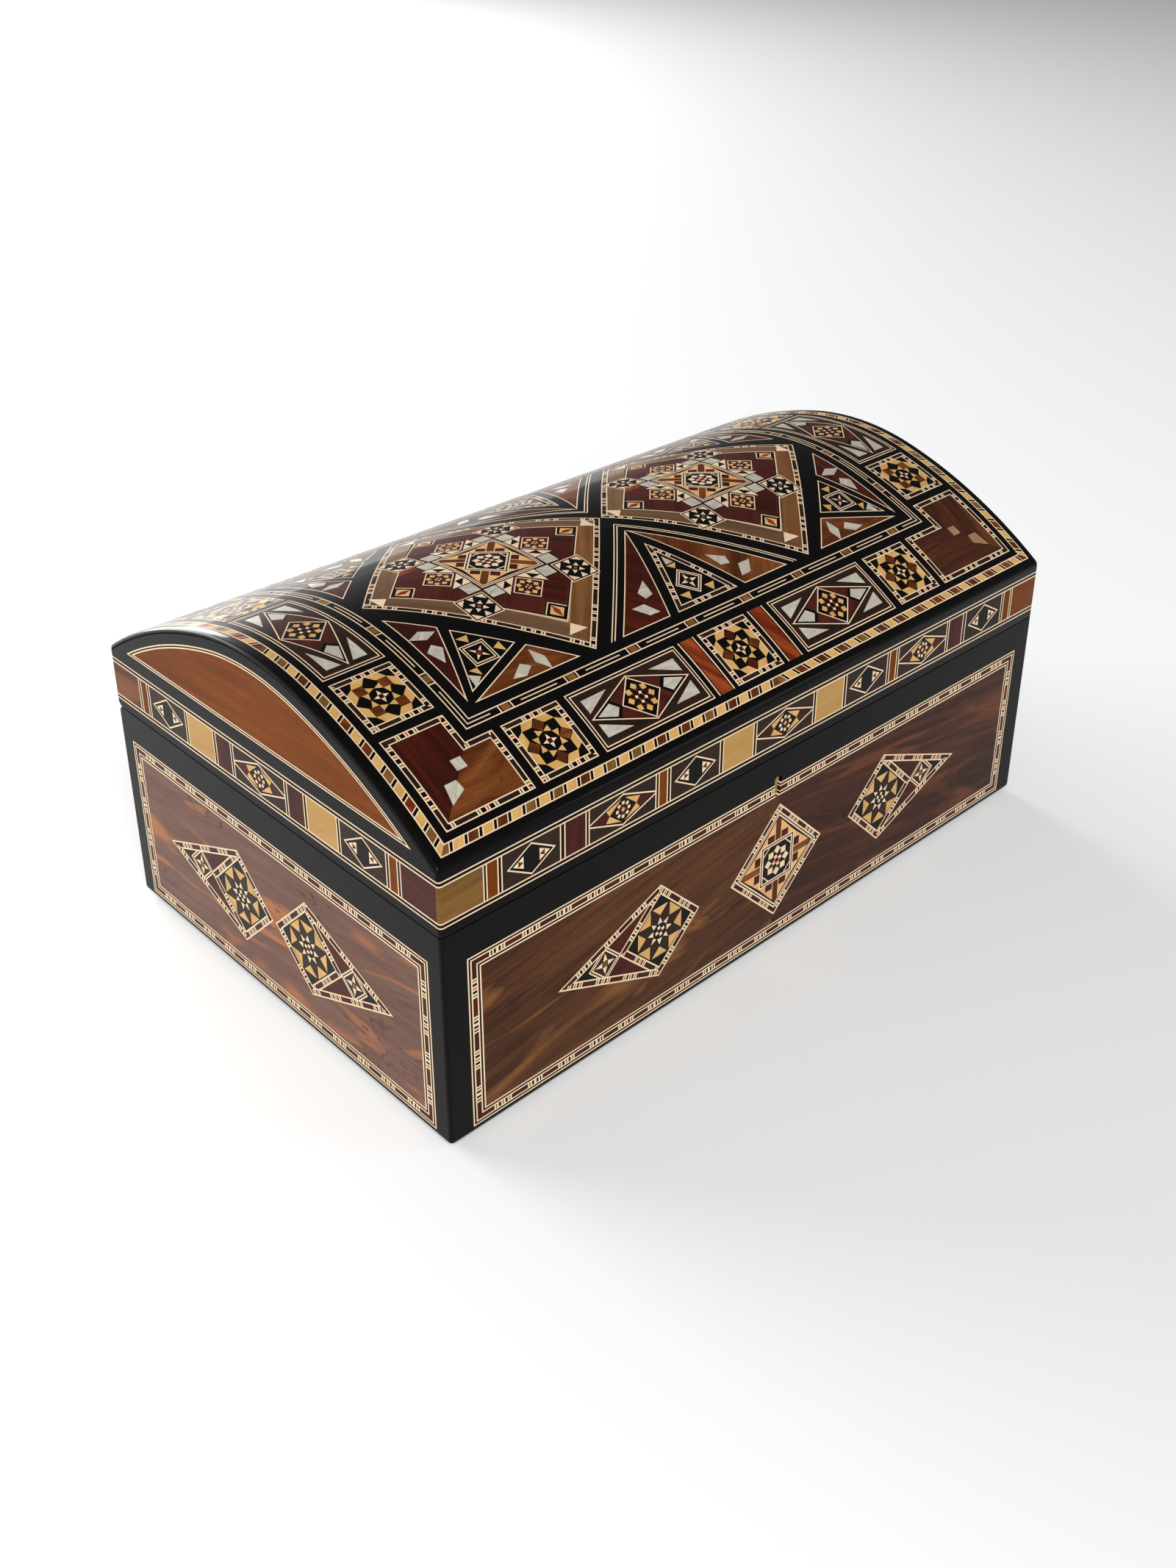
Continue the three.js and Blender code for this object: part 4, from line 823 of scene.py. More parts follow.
KITES = {"front": (49.2, 38.0), "back": (49.2, 38.0), "left": (16.555, 38.0), "right": (16.555, 38.0)}
for side, (head_x, tail) in KITES.items():
    left = moved(kite(tail), complex(-head_x, MOTIF_HEIGHT))
    for end, design in (("left", left), ("right", mirrored(left))):
        marquetry(f"{side}_{end}_kite_star", design, on_wall(side), SHEET, "base",
                  f"{side}_{end}_kite", seed=head_x)
for side in ("front", "back"):
    marquetry(side + "_diamond", moved(centre_diamond(), complex(0, MOTIF_HEIGHT)), on_wall(side), SHEET,
              "base", side + "_centre_diamond", seed=7)

# %% [markdown]
# ## The fields
# A field is plain figured veneer, sawn out where the motifs are let in. A cutting with no wood is a
# hole in the sheet, so the kites and diamonds stand in real openings.

# %% Fields
FIELD_LEAN = {"front": 7, "back": 6, "left": 3, "right": -3}
LEAVES_MEET = -1
for side, half in BAND_HALF.items():
    inner = inset(box_shape(-half, half, BAND_LOW, BAND_HIGH), BAND_WIDTH - FIT)
    x0, x1 = min(p.real for p in inner), max(p.real for p in inner)
    y0, y1 = min(p.imag for p in inner), max(p.imag for p in inner)
    lean = FIELD_LEAN[side]
    if side in ("front", "back"):
        design = [("walnut", box_shape(x0, LEAVES_MEET, y0, y1), lean),
                  ("walnut_red", box_shape(LEAVES_MEET, x1, y0, y1), -lean)]
    else:
        design = [("kingwood", box_shape(x0, x1, y0, y1), lean)]
    head_x, tail = KITES[side]
    hole = shape(KITE_HALF, 0, 0, KITE_HALF, -tail, 0, 0, -KITE_HALF)
    holes = both_sides(moved([("", inset(hole, -FIT), 0)], complex(-head_x, MOTIF_HEIGHT)))
    if side in ("front", "back"):
        holes += [("", inset(diamond(CENTRE_HALF, 1j * MOTIF_HEIGHT), -FIT), 0)]
    marquetry(side + "_veneer_field", design + holes, on_wall(side), SHEET, "base", side + "_field",
              seed=3 + YAW[side])

# %% [markdown]
# ## The band round the lid
# The upright part of the lid carries a run of small panels between double white lines: lozenges, stars
# in long diamonds, and plain blocks of coloured wood.

# %% Panels of the lid band
LID_SHEET_TOP = 86.55
LID_BAND_LOW, LID_BAND_HIGH = 71.5, 85.5
LID_BAND_MIDDLE = (LID_BAND_LOW + LID_BAND_HIGH) / 2
PANEL_HALF = 5.3
LID_LINE, LID_GAP = 0.4, 0.87


def upright_block(wood, left, right, lean):
    """A block as tall as the band's panels."""
    return (wood, box_shape(left, right, -PANEL_HALF, PANEL_HALF), lean)


def lozenge_panel(width):
    """A black lozenge with a white triangle in each of its points."""
    half = width / 2
    ground = [upright_block("blackwood", -half, half, 0)]
    lozenge = framed(diamond(8.15, 0, 4.85), "ebony", ("bone", 0.42))
    triangle = shape(-6.1, 0, -2.66, 1.87, -2.66, -1.87)
    middles = [(triangle[k] + triangle[(k + 1) % 3]) / 2 for k in range(3)]
    tip = [("bone", triangle, None), ("russet", middles, None)]
    return ground + lozenge + both_sides(tip)


def star_panel(width):
    """A yellow star with a flower in its middle, in a long diamond that the panel's ends cut off."""
    half = width / 2
    ground = [upright_block("blackwood", -half, half, 0)]
    long_diamond = framed(diamond(half + 1.6, 0, 4.95), "rosewood", ("bone", 0.45), ("ebony", 0.32))
    long_diamond = trimmed(long_diamond, ground[0][1])
    dark = [cut("ebony", -6.6, 1.75, -4.6, 0, -6.6, -1.75, 0, -4.1,
                6.6, -1.75, 4.6, 0, 6.6, 1.75, 0, 4.1, lean=0)]
    beam = [cut("lemonwood", -6.1, 1.8, -0.65, 3.55, -4.85, 0.05)]
    flower = around([("bone", square(0.48, 2.1), 0)], 8)
    eye = [("rosewood", [cmath.rect(2.1, math.radians(45 * k + 22)) for k in range(8)], None)]
    return (ground + long_diamond + dark + four_corners(beam) + eye + flower
            + around([("blackwood", square(0.3, 1.35), 0)], 8)
            + [("lemonwood", diamond(0.75), None)])


def plain_panel(wood, lean=90):
    """Gives a drawer of plain blocks of a wood."""
    def panel(width):
        return [upright_block(wood, -width / 2, width / 2, lean)]
    return panel


def upright_lines(width):
    """Two white lines with black between them."""
    half = width / 2
    return [upright_block("ebony", -half, half, 90), upright_block("bone", -half, -half + LID_LINE, 90),
            upright_block("bone", half - LID_LINE, half, 90)]


def lid_band(run, half, ends):
    """A band of panels out from the middle both ways; ends are the woods of the last two."""
    low, high = LID_BAND_LOW - LID_BAND_MIDDLE, LID_BAND_HIGH - LID_BAND_MIDDLE
    foot, top = LID_FOOT - LID_BAND_MIDDLE, LID_SHEET_TOP - LID_BAND_MIDDLE
    design = [("ebony", box_shape(-half, half, foot, top), 0),
              ("bone", box_shape(-half, half, low, high), 0),
              ("ebony", box_shape(-half, half, low + LID_LINE, high - LID_LINE), 0),
              ("bone", box_shape(-half, half, low + LID_LINE + LID_GAP, high - LID_LINE - LID_GAP), 0),
              upright_block(ends[0], -half, 0, 4), upright_block(ends[1], 0, half, -4)]
    position = 0.0
    for panel, width in run:
        if position == 0:
            design += panel(2 * width)
        else:
            middle = position + width / 2
            design += moved(panel(width), -middle) + moved(panel(width), middle)
        position += width
    return moved(design, 1j * LID_BAND_MIDDLE)


yellow = plain_panel("boxwood", 8)
orange = plain_panel("orangewood")
red_brown = plain_panel("rosewood")
LONG_RUN = [(star_panel, 12.05), (upright_lines, 1.6), (yellow, 12.0), (upright_lines, 1.7),
            (lozenge_panel, 18.9), (upright_lines, 1.6), (orange, 2.8), (upright_lines, 1.5),
            (star_panel, 23.8), (upright_lines, 1.5), (red_brown, 6.9), (upright_lines, 1.9),
            (lozenge_panel, 19.0), (upright_lines, 1.6), (orange, 3.2), (upright_lines, 1.4)]
SHORT_RUN = [(star_panel, 12.05), (upright_lines, 1.6), (red_brown, 7.1), (upright_lines, 1.7),
             (yellow, 12.9), (upright_lines, 1.6), (lozenge_panel, 19.0), (upright_lines, 1.6),
             (orange, 3.0), (upright_lines, 1.6)]

ROLLED = CORNER_RADIUS * (math.pi / 2 - 1)
for side in ("front", "back"):
    marquetry(f"lid_{side}_panel_band", lid_band(LONG_RUN, HALF_LENGTH + ROLLED, ("olive", "orangewood")),
              on_wall(side, HALF_LENGTH), SHEET, "lid", f"lid_{side}_veneer",
              roll_lines(CORNER_RADIUS, 0, 200), seed=12)

# %% [markdown]
# ## The dome
# The drawing of the dome is flat too: x along the box, and y the distance along the curve from the
# ridge, towards the back. The curve is a crown arc between two flatter arcs, and at the front and back
# the sheet turns down over a small rounded crease.

# %% The curve of the dome
BOX_HEIGHT = 117.0
CREASE_HEIGHT = 88.6
CROWN_RADIUS = 90.0
CROWN_TURN = math.radians(14.2)
CREASE_RADIUS = 2.5
NOSE_FOOT = 86.6
crown_z = BOX_HEIGHT - CROWN_RADIUS
shoulder = Vector((CROWN_RADIUS * math.sin(CROWN_TURN), crown_z + CROWN_RADIUS * math.cos(CROWN_TURN)))
run, fall = HALF_DEPTH - shoulder.x, CREASE_HEIGHT - shoulder.y
FLANK_RADIUS = -(run ** 2 + fall ** 2) / (2 * (run * math.sin(CROWN_TURN) + fall * math.cos(CROWN_TURN)))
flank_centre = shoulder - FLANK_RADIUS * Vector((math.sin(CROWN_TURN), math.cos(CROWN_TURN)))
flank_end = math.asin((HALF_DEPTH - CREASE_RADIUS - flank_centre.x) / (FLANK_RADIUS - CREASE_RADIUS))
crease_way = Vector((math.sin(flank_end), math.cos(flank_end)))
crease_centre = flank_centre + (FLANK_RADIUS - CREASE_RADIUS) * crease_way
CROWN_ARC = CROWN_RADIUS * CROWN_TURN
FLANK_ARC = CROWN_ARC + FLANK_RADIUS * (flank_end - CROWN_TURN)
CREASE_ARC = FLANK_ARC + CREASE_RADIUS * (math.pi / 2 - flank_end)
NOSE_END = CREASE_ARC + crease_centre.y - NOSE_FOOT
END_RADIUS = 0.96
print("half the curve is", round(FLANK_ARC, 1), "mm, and", round(NOSE_END, 1), "with its nose")


def dome_section(along, depth):
    """(y, z) of a point at a distance along the curve from the ridge and a depth under it."""
    reach = abs(along)
    if reach <= CROWN_ARC:
        centre, radius, angle = Vector((0, crown_z)), CROWN_RADIUS, reach / CROWN_RADIUS
    elif reach <= FLANK_ARC:
        centre, radius = flank_centre, FLANK_RADIUS
        angle = CROWN_TURN + (reach - CROWN_ARC) / FLANK_RADIUS
    else:
        centre, radius = crease_centre, CREASE_RADIUS
        angle = min(flank_end + (reach - FLANK_ARC) / CREASE_RADIUS, math.pi / 2)
    spot = centre + (radius - depth) * Vector((math.sin(angle), math.cos(angle)))
    if reach > CREASE_ARC:
        spot.y -= reach - CREASE_ARC
    return math.copysign(spot.x, along), spot.y


def on_dome(x, along, depth):
    """Lays a drawing over the dome, with its ends bent down over the edges of the lid."""
    x, drop = rolled_edge(x, HALF_LENGTH, END_RADIUS)
    y, z = dome_section(along, max(depth, drop))
    return Vector((x, y, z))


CURVE_STEP = 1.7
BEYOND_ENDS = 130


def curve_lines(reach):
    """Cuts along a drawing of the dome, closest in the crease, so that its net can follow the curve."""
    count = int(2 * reach / CURVE_STEP)
    places = [-reach + 2 * reach * k / count for k in range(1, count)]
    places += [way * (FLANK_ARC + (CREASE_ARC - FLANK_ARC) * k / 5) for way in (-1, 1) for k in range(6)]
    return [(complex(-BEYOND_ENDS, y), complex(BEYOND_ENDS, y)) for y in places if abs(y) < reach]


# %% [markdown]
# ## The ends of the lid
# An end sheet is one arched leaf of ebony with the panel band across its foot. A plain leaf of
# orangewood, edged with a white line, is let into the arch above it.

# %% Arched end sheets
END_HALF = 75.75
TYMPANUM_INSET = 4.6
TYMPANUM_FOOT = 89.9


def arch_height(y, depth):
    """The height of the dome over a distance from its middle, at a depth under its surface."""
    if abs(y) < (CROWN_RADIUS - depth) * math.sin(CROWN_TURN):
        return crown_z + math.sqrt((CROWN_RADIUS - depth) ** 2 - y ** 2)
    return flank_centre.y + math.sqrt((FLANK_RADIUS - depth) ** 2 - (abs(y) - flank_centre.x) ** 2)


def under_arch(depth, half, foot, count=44):
    """The outline of an arch at a depth under the dome, with a straight foot."""
    top = [half * (1 - 2 * k / count) for k in range(count + 1)]
    return [complex(-half, foot), complex(half, foot)] + [complex(y, arch_height(y, depth)) for y in top]


def tympanum(grown):
    """The D-shaped leaf's outline, grown or shrunk."""
    depth = TYMPANUM_INSET - grown
    half = HALF_DEPTH
    while arch_height(half, depth) < TYMPANUM_FOOT - grown:
        half -= 0.01
    return under_arch(depth, half, TYMPANUM_FOOT - grown)[2:]


end_ground = [("ebony", under_arch(SHEET + 0.3, END_HALF, LID_FOOT), 0)]
leaf = [(wood, tympanum(-shrunk), 3) for wood, shrunk in (
    ("bone", 0.02), ("ebony", 0.4), ("bone", 0.85), ("orangewood", 1.23))]
hinge_lines = [(complex(x, LID_FOOT - 1), complex(x, LID_SHEET_TOP)) for x in (-HINGE_Y, HINGE_Y)]
for side in ("left", "right"):
    band = lid_band(SHORT_RUN, END_HALF, ("russet", "plumwood"))
    marquetry(f"lid_{side}_end_sheet", end_ground + band + [("", tympanum(0.1), 0)], on_wall(side), SHEET,
              "lid", f"lid_{side}_veneer", hinge_lines, seed=41)
    marquetry(f"lid_{side}_arch_leaf", leaf, on_wall(side), SHEET, "lid", f"lid_{side}_tympanum",
              seed=43)

# %% [markdown]
# ## The drawing of the dome
# From the edge inwards: a rope banding, a ring of panels (corner pieces, rosettes and pearl
# rectangles), a frame, and two big star squares with triangles between them. The drawings below are
# made with y towards the front, as the eye reads them, and mirrored at the end.

# %% Rope banding
ROPE_OUTER = (122.1, 80.56)
ROPE_WIDTH = 2.9
FINE = 0.34
FINE_LINE = ("bone", FINE)
ROPE_SLANT = 1.27


def rope_banding(points, width):
    """White lines with leaning blocks between them; the lean turns round in the middle of a side."""
    laid, _ = bands(points, FINE_LINE, ("ebony", width - 2 * FINE), FINE_LINE)
    near, far = inset(points, FINE), inset(points, width - FINE)
    chance = random.Random(5)
    for k in range(4):
        a, b, c, d = near[k], near[(k + 1) % 4], far[(k + 1) % 4], far[k]
        along = (b - a) / abs(b - a)
        across = along * 1j * (width - 2 * FINE)
        start, opposite = (a + b) / 2, (c + d) / 2
        for way, window in ((1, [start, b, c, opposite]), (-1, [a, start, opposite, d])):
            place = start - way * along * 0.2
            number = 0
            while abs(place - start) < abs(b - a) / 2 + 2:
                brown = chance.choice(("russet", "russet", "olive", "padauk"))
                block = "lemonwood" if number % 2 else brown
                for wood, run in ((block, 3.06), ("bone", 0.32), ("ebony", 0.9), ("bone", 0.32)):
                    beyond = place + way * along * run
                    lean = -way * along * ROPE_SLANT
                    cutting = anticlockwise([place, beyond, beyond + across + lean, place + across + lean])
                    laid += trimmed([(wood, cutting, math.degrees(cmath.phase(along)) + 45)], window)
                    place = beyond
                number += 1
    return laid


# %% [markdown]
# ## The ring of panels
# Rosettes, corner pieces and pearl panels stand in turn round the dome. Each is drawn once about its own
# middle, and moved to its places. The right corners have other woods than the left ones.

# %% Ring panels
DOME_LAYERS = (FINE_LINE, (DOME_ROW, 1.27), FINE_LINE)


def rosette(browns=("russet", "russet"), corner="ebony"):
    """A ring of black squares and brown squares on their corners, in a banded square of 19.2 mm."""
    tips = [cut("ebony", 7.65, 7.65, 4.7, 7.65, 7.65, 4.7)]
    cream = [cut("lemonwood", 4.2, 7.65, 0.2, 7.65, 2.1, 5.45, 5.5, 5.45),
             cut("lemonwood", 7.65, 4.2, 7.65, 0.2, 5.45, 2.1, 5.45, 5.5),
             (corner, square(1.6, 3.85 + 3.85j), None),
             cut("lemonwood", 2.25, 4.4, 2.25, 2.35, 0.1, 3.2),
             cut("lemonwood", 4.4, 2.25, 2.35, 2.25, 3.2, 0.1),
             cut("ebony", 2.1, 2.1, 0.1, 3.1, 0.75, 0.75, 3.1, 0.1)]
    upright = [(browns[0], diamond(2.05, 5.35j), None), (browns[0], diamond(2.05, -5.35j), None)]
    level = [(browns[1], diamond(2.05, 5.35), None), (browns[1], diamond(2.05, -5.35), None)]
    heart = around([cut("bone", 0, 2.3, -0.62, 0.7, 0.62, 0.7)], 4) + [
        ("rosewood", square(0.72), None)]
    return (framed(square(9.6), "ebony", *DOME_LAYERS, late=0.3) + four_corners(tips + cream)
            + upright + level + heart)


def pearl_rectangle(length=41.0, height=19.4):
    """A rhombus with a star in it, with pearl in its points and in the corners of the panel."""
    half, tall = length / 2, height / 2
    reach, rise = half - 2.2, tall - 2.0
    ground = framed(box_shape(-half, half, -tall, tall), "rosewood", FINE_LINE, ("ebony", 0.62),
                    FINE_LINE)
    corner = [("blackwood", box_shape(0, half - 1.46, 0, tall - 1.46), 0),
              cut("pearl", half - 3.2, tall - 3.4, half - 12.5, tall - 3.3, half - 3.2, tall - 7.9, lean=0)]
    rhombus = framed(diamond(reach, 0, rise), "plumwood", FINE_LINE, ("ebony", 0.34))
    point = [cut("ebony", reach - 1.2, 0, reach - 8.6, 3.0, reach - 11.4, 0, reach - 8.6, -3.0, lean=0),
             cut("pearl", reach - 2.4, 0, reach - 7.9, 2.25, reach - 10.0, 0, reach - 7.9, -2.25, lean=0)]
    eye = framed(diamond(7.2), "ebony", FINE_LINE)
    return ground + four_corners(corner) + rhombus + both_sides(point) + eye + ring_of_eight(
        3.75, 1.65, "lemonwood", "rosewood", ("bone", "russet"))


def padauk_strip(width=6.2, height=19.4):
    """A strip of red wood between white lines."""
    half, tall = width / 2, height / 2
    edge = [("bone", box_shape(half - 0.42, half, -tall, tall), 90)]
    return [("ebony", box_shape(-half, half, -tall, tall), 90),
            ("padauk", box_shape(-half + 0.85, half - 0.85, -tall, tall), 62)] + both_sides(edge)


def corner_panel(inner_x, upright="rosewood", level="russet", stone="pearl"):
    """The L at the near left corner, with its two arms mitred where they meet."""
    outline = shape(-116.9, 46.3, -97.1, 46.3, -97.1, 56.1, inner_x, 56.1, inner_x, 75.5, -116.9, 75.5)
    laid, inner = bands(outline, FINE_LINE, (DOME_ROW, 1.3), FINE_LINE, late=0.2)
    notch = min(inner, key=lambda p: abs(p - complex(-99.2, 58.2)))
    outer = min(inner, key=lambda p: abs(p - complex(-114.8, 73.4)))
    x1, y0 = max(p.real for p in inner), min(p.imag for p in inner)
    upright_arm = shape(outer.real, y0, notch.real, y0, notch.real, notch.imag, outer.real, outer.imag)
    level_arm = shape(notch.real, notch.imag, x1, notch.imag, x1, outer.imag, outer.real, outer.imag)
    return laid + [
        (upright, upright_arm, 90), (level, level_arm, 2),
        (stone, box_shape(-104.2, -100.9, 59.0, 62.4), None),
        cut(stone, -109.8, 64.4, -106.1, 64.4, -105.7, 67.5, -111.1, 70.2)]


RING_MIDDLE = 65.8
RING_END = 107


def ring_panels():
    """The near half of the ring, with y towards the front."""
    near = [(rosette(), -76.15), (pearl_rectangle(), -43.3), (padauk_strip(), -18.0),
            (rosette(("rosewood", "russet")), -3.7), (padauk_strip(), 10.75), (pearl_rectangle(), 36.6),
            (rosette(), 69.7)]
    design = [cutting for panel, x in near for cutting in moved(panel, complex(x, RING_MIDDLE))]
    design += corner_panel(-88.4) + mirrored(corner_panel(-81.9, "walnut_red", "walnut_red", "tan_pearl"))
    end = moved(rosette(("ebony", "ebony"), "russet"), 33.8j)
    return design + moved(end, -RING_END) + moved(end, RING_END)


# %% [markdown]
# ## The frame inside the ring
# Thin white lines enclose a dark strip with long white dashes and small coloured blocks. The strip is
# laid out from the middle of each side, so that both ends of a side come out alike.

# %% The frame inside the ring
FRAME_OUTER = (94.4, 53.16)
FRAME_LINE, FRAME_STRIP = 0.36, 2.08
FRAME_LAYERS = (("bone", FRAME_LINE), ("ebony", FRAME_STRIP), ("bone", FRAME_LINE), ("ebony", 2.9))
FRAME_PITCH = 22.95
DASH_HALF = 6.3
FRAME_WIDTH = row_length(FRAME_LAYERS)


def frame_banding(points):
    """White lines round a dark strip, with a long white dash and a coloured block in turn."""
    laid, _ = bands(points, *FRAME_LAYERS)
    half = FRAME_STRIP / 2
    middle = inset(points, FRAME_LINE + half)
    strip = inset(points, FRAME_LINE)
    strip_end = inset(points, FRAME_LINE + FRAME_STRIP)
    for k, count in enumerate((8, 4, 8, 4)):
        a, b = middle[k], middle[(k + 1) % 4]
        along = (b - a) / abs(b - a)
        window = [strip[k], strip[(k + 1) % 4], strip_end[(k + 1) % 4], strip_end[k]]
        side = []
        for n in range(count + 1):
            spot = (a + b) / 2 + along * FRAME_PITCH * (n - count / 2)
            side += line(FINE, spot - along * DASH_HALF, spot + along * DASH_HALF)
            if n < count:
                blocks = [("bone", box_shape(-2.25, 2.25, -half, half), 90),
                          ("ebony", box_shape(-1.85, 1.85, -half, half), 90),
                          ("olive" if n % 2 else "golden_walnut", box_shape(-1.35, 1.35, -half, half), 0)]
                side += moved(blocks, spot + along * FRAME_PITCH / 2, math.degrees(cmath.phase(along)))
        laid += trimmed(side, window)
    return laid


# %% [markdown]
# ## The two star squares
# The big squares are the finest work on the box. Most of their parts come four times, so each is drawn
# once and turned about the middle by quarter turns. The plum ground is pieced from leaves whose grain
# runs in different ways.

# %% Star squares
STAR_CENTRE = 44.35
STAR_HALF = (44.05, 47.16)


def pinwheel(half=4.35):
    """Bone triangles whirling in a small straight square."""
    leg, edge = half * 0.57, half * 0.26
    blade = [cut("bone", half, half, half - leg, half, half, half - leg),
             cut("bone", -edge, half, edge, half, 0, half * 0.55),
             cut("bone", half * 0.46, half * 0.46, half * 0.06, half * 0.32, half * 0.32, half * 0.06)]
    return framed(square(half + 0.8), "ebony", FINE_LINE, ("ebony", 0.4)) + around(blade, 4) + [
        ("olive", diamond(half * 0.17), None)]


def star_square():
    """A big square on its corner: leaves of walnut round a plum ground with an eight-pointed middle."""
    width, height = STAR_HALF
    outline = diamond(width, 0, height)
    laid, inner = bands(outline, FINE_LINE, (DOME_ROW, 1.25), FINE_LINE, late=0.6)
    leaves = bands(inner, ("pale_walnut", 5.6))[0]
    leaves = [("golden_walnut" if k == 3 else wood, points, lean)
              for k, (wood, points, lean) in enumerate(leaves)]
    plum = framed(diamond(35.0), "plumwood", FINE_LINE, ("ebony", 0.35))
    patches = [cut("plumwood", 0, 0, 33, 0, 0, 33, lean=45), cut("plumwood", 0, 0, 0, 33, -33, 0, lean=-45),
               cut("plumwood", 0, 0, -33, 0, 0, -33, lean=45), cut("rosewood", 0, 0, 0, -33, 33, 0, lean=-45),
               cut("padauk", -18, 10, -24.5, 10, -18, 15.5, -14, 15.5, lean=45)]
    leaf = [("ebony", clipped(diamond(4.5, 30.1), diamond(34.2)), 0)]
    leaf += line(FINE, 30 + 3.9j, 26.2, 30 - 3.9j)
    leaf += [("peachwood", diamond(2.7, 30.3), 0),
             cut("padauk", 27.7, 0, 30.3, 1.0, 32.9, 0, 30.3, -1.0, lean=0)]
    tip = [cut("bone", 35.9, 0, 39.6, 3.3, 39.6, -3.3, lean=0)]
    small = framed(diamond(5.6, 17.9), "rosewood", FINE_LINE, ("ebony", 0.35))
    small += moved(ring_of_eight(2.75, 1.35, "peachwood", "blackwood", ("russet", "bone")), 17.9)
    teeth = shape(11.9, 0.5, 11.9, 7.0, 18.3, 7.0)
    middles = [(teeth[k] + teeth[(k + 1) % 3]) / 2 for k in range(3)]
    tooth = both_sides([("bone", teeth, None), ("ebony", middles, None)], across_x=False)
    squares = [("ebony", square(2.62, 14.45 + 9.6j), 0), ("ebony", square(2.62, 9.6 + 14.45j), 0),
               ("pearl", square(2.22, 14.45 + 9.6j), None), ("pearl", square(2.22, 9.6 + 14.45j), None)]
    middle = framed(square(11.4), "ebony", ("bone", 0.35), ("ebony", 0.35), ("bone", 0.35))
    eye = moved(eye_square(core=6.77), turn=45, size=0.9505)
    return (laid + leaves + plum + patches + around(leaf + tip, 4) + around(tooth, 4) + around(small, 4)
            + around(moved(pinwheel(), 17.85 + 17.85j), 4) + four_corners(squares) + middle + eye)


# %% [markdown]
# ## The triangles between the squares
# The gaps between the squares and the frame hold brown leaves, pearl pieces and small yellow bits. There
# are two kinds, at the ends and in the middle. Each is drawn once and mirrored into the other gaps.

# %% Triangles between the star squares
def end_spandrel():
    """Between the frame and the left star square, y towards the front."""
    brown = outlined("rosewood", shape(-88.4, 8.6, -78.0, 19.3, -88.4, 46.0), 80)
    brown += outlined("russet", shape(-87.0, 47.1, -61.2, 36.5, -50.2, 47.1), 8)
    pearls = [cut("pearl", *numbers) for numbers in (
        (-88.1, 20.1, -83.7, 18.2, -79.6, 20.5, -83.7, 22.3),
        (-86.9, 26.6, -84, 24.4, -81.9, 26.8, -84.9, 32),
        (-72.5, 45.2, -67.4, 41.6, -64.9, 43.6, -68.3, 46),
        (-61.8, 38.4, -59.2, 42.5, -60.1, 47, -63, 43),
        (-82.6, 38.4, -79.6, 40.4, -83.3, 43.1))]
    black = framed(shape(-76, 21.8, -63.2, 34.6, -85.3, 43.9), "ebony", FINE_LINE)
    yellow_bits = [cut("lemonwood", *numbers) for numbers in (
        (-77, 25.9, -73.2, 25.9, -74.5, 28.6), (-69.9, 33.4, -67.1, 32.1, -67.3, 35.8),
        (-81.4, 37.4, -78.7, 37.3, -78.9, 40.1))]
    centre = -74.5 + 33.1j
    eye = framed(square(4.05, centre), "ebony", FINE_LINE, ("ebony", 0.45), FINE_LINE, ("ebony", 0.3))
    star = around([cut("bone", 2.1, 2.1, 0.35, 1.0, 1.0, 0.35)], 4) + [("padauk", diamond(1.05), None)]
    return brown + pearls[:4] + black + yellow_bits + pearls[4:] + eye + moved(star, centre)


GAP_SLOPE = STAR_HALF[0] / STAR_HALF[1]
SPANDREL_FOOT = 47.2


def beside_star(gap):
    """A line beside the left star square: its start on the middle line and its end at the foot."""
    start = gap * math.hypot(1, 1 / GAP_SLOPE)
    return 1j * start, complex((start - SPANDREL_FOOT) * GAP_SLOPE, SPANDREL_FOOT)


def outlined(wood, points, lean):
    """A leaf with a white line round it."""
    return [("bone", points, 0), (wood, inset(points, FINE), lean)]


def spandrel_leaf(leaf):
    """The left half between the two star squares, y towards the front."""
    laid = line(FINE, *beside_star(4.0)) + line(FINE, *beside_star(4.9))
    top, foot = beside_star(7.1)
    laid += outlined(leaf, anticlockwise([top, foot, complex(-15.6, SPANDREL_FOOT)]), 50)
    return laid + [cut("pearl", -18.2, 35.6, -13, 32.1, -14.3, 37.9, -17.5, 38.5),
                   cut("pearl", -24.4, 39.9, -19.7, 39.9, -17.1, 44.4, -21, 44.2)]


def middle_spandrel():
    """The whole triangle between the two star squares, y towards the front."""
    laid = spandrel_leaf("rosewood") + mirrored(spandrel_leaf("russet"))
    triangle = framed(shape(-12.3, 47.2, 12.3, 47.2, 0, 18.9), "ebony", FINE_LINE, (DOME_ROW, 1.3),
                      FINE_LINE, late=0.4)
    eye = framed(diamond(5.4, 38.5j), "ebony", FINE_LINE, ("ebony", 0.36), FINE_LINE)
    bits = [cut("pearl", 0, 26.3, -1.5, 30, 1.5, 30),
            cut("lemonwood", -1.9, 30.5, 1.9, 30.5, 0, 32.6)]
    bits += both_sides([cut("lemonwood", -7, 42, -3.1, 42, -4.7, 44.9)])
    return laid + triangle + bits + eye + moved(small_star(4.6, middle="rosewood"), 38.5j)


# %% [markdown]
# ## Laying the dome
# The ebony sheet carries the ring and the triangles. The rope banding, the frame and the star squares
# are let into shallow pockets in it.

# %% Dome sheets
def rectangle_of(half_x, half_y):
    return box_shape(-half_x, half_x, -half_y, half_y)


def front_and_back(design):
    """A drawing with y towards the front, laid on both slopes."""
    return both_sides(design, across_x=False)


rope_outer = rectangle_of(*ROPE_OUTER)
frame_outer = rectangle_of(*FRAME_OUTER)
star_outline = diamond(STAR_HALF[0], 0, STAR_HALF[1])
dome_end = HALF_LENGTH - END_RADIUS + END_RADIUS * math.pi / 2

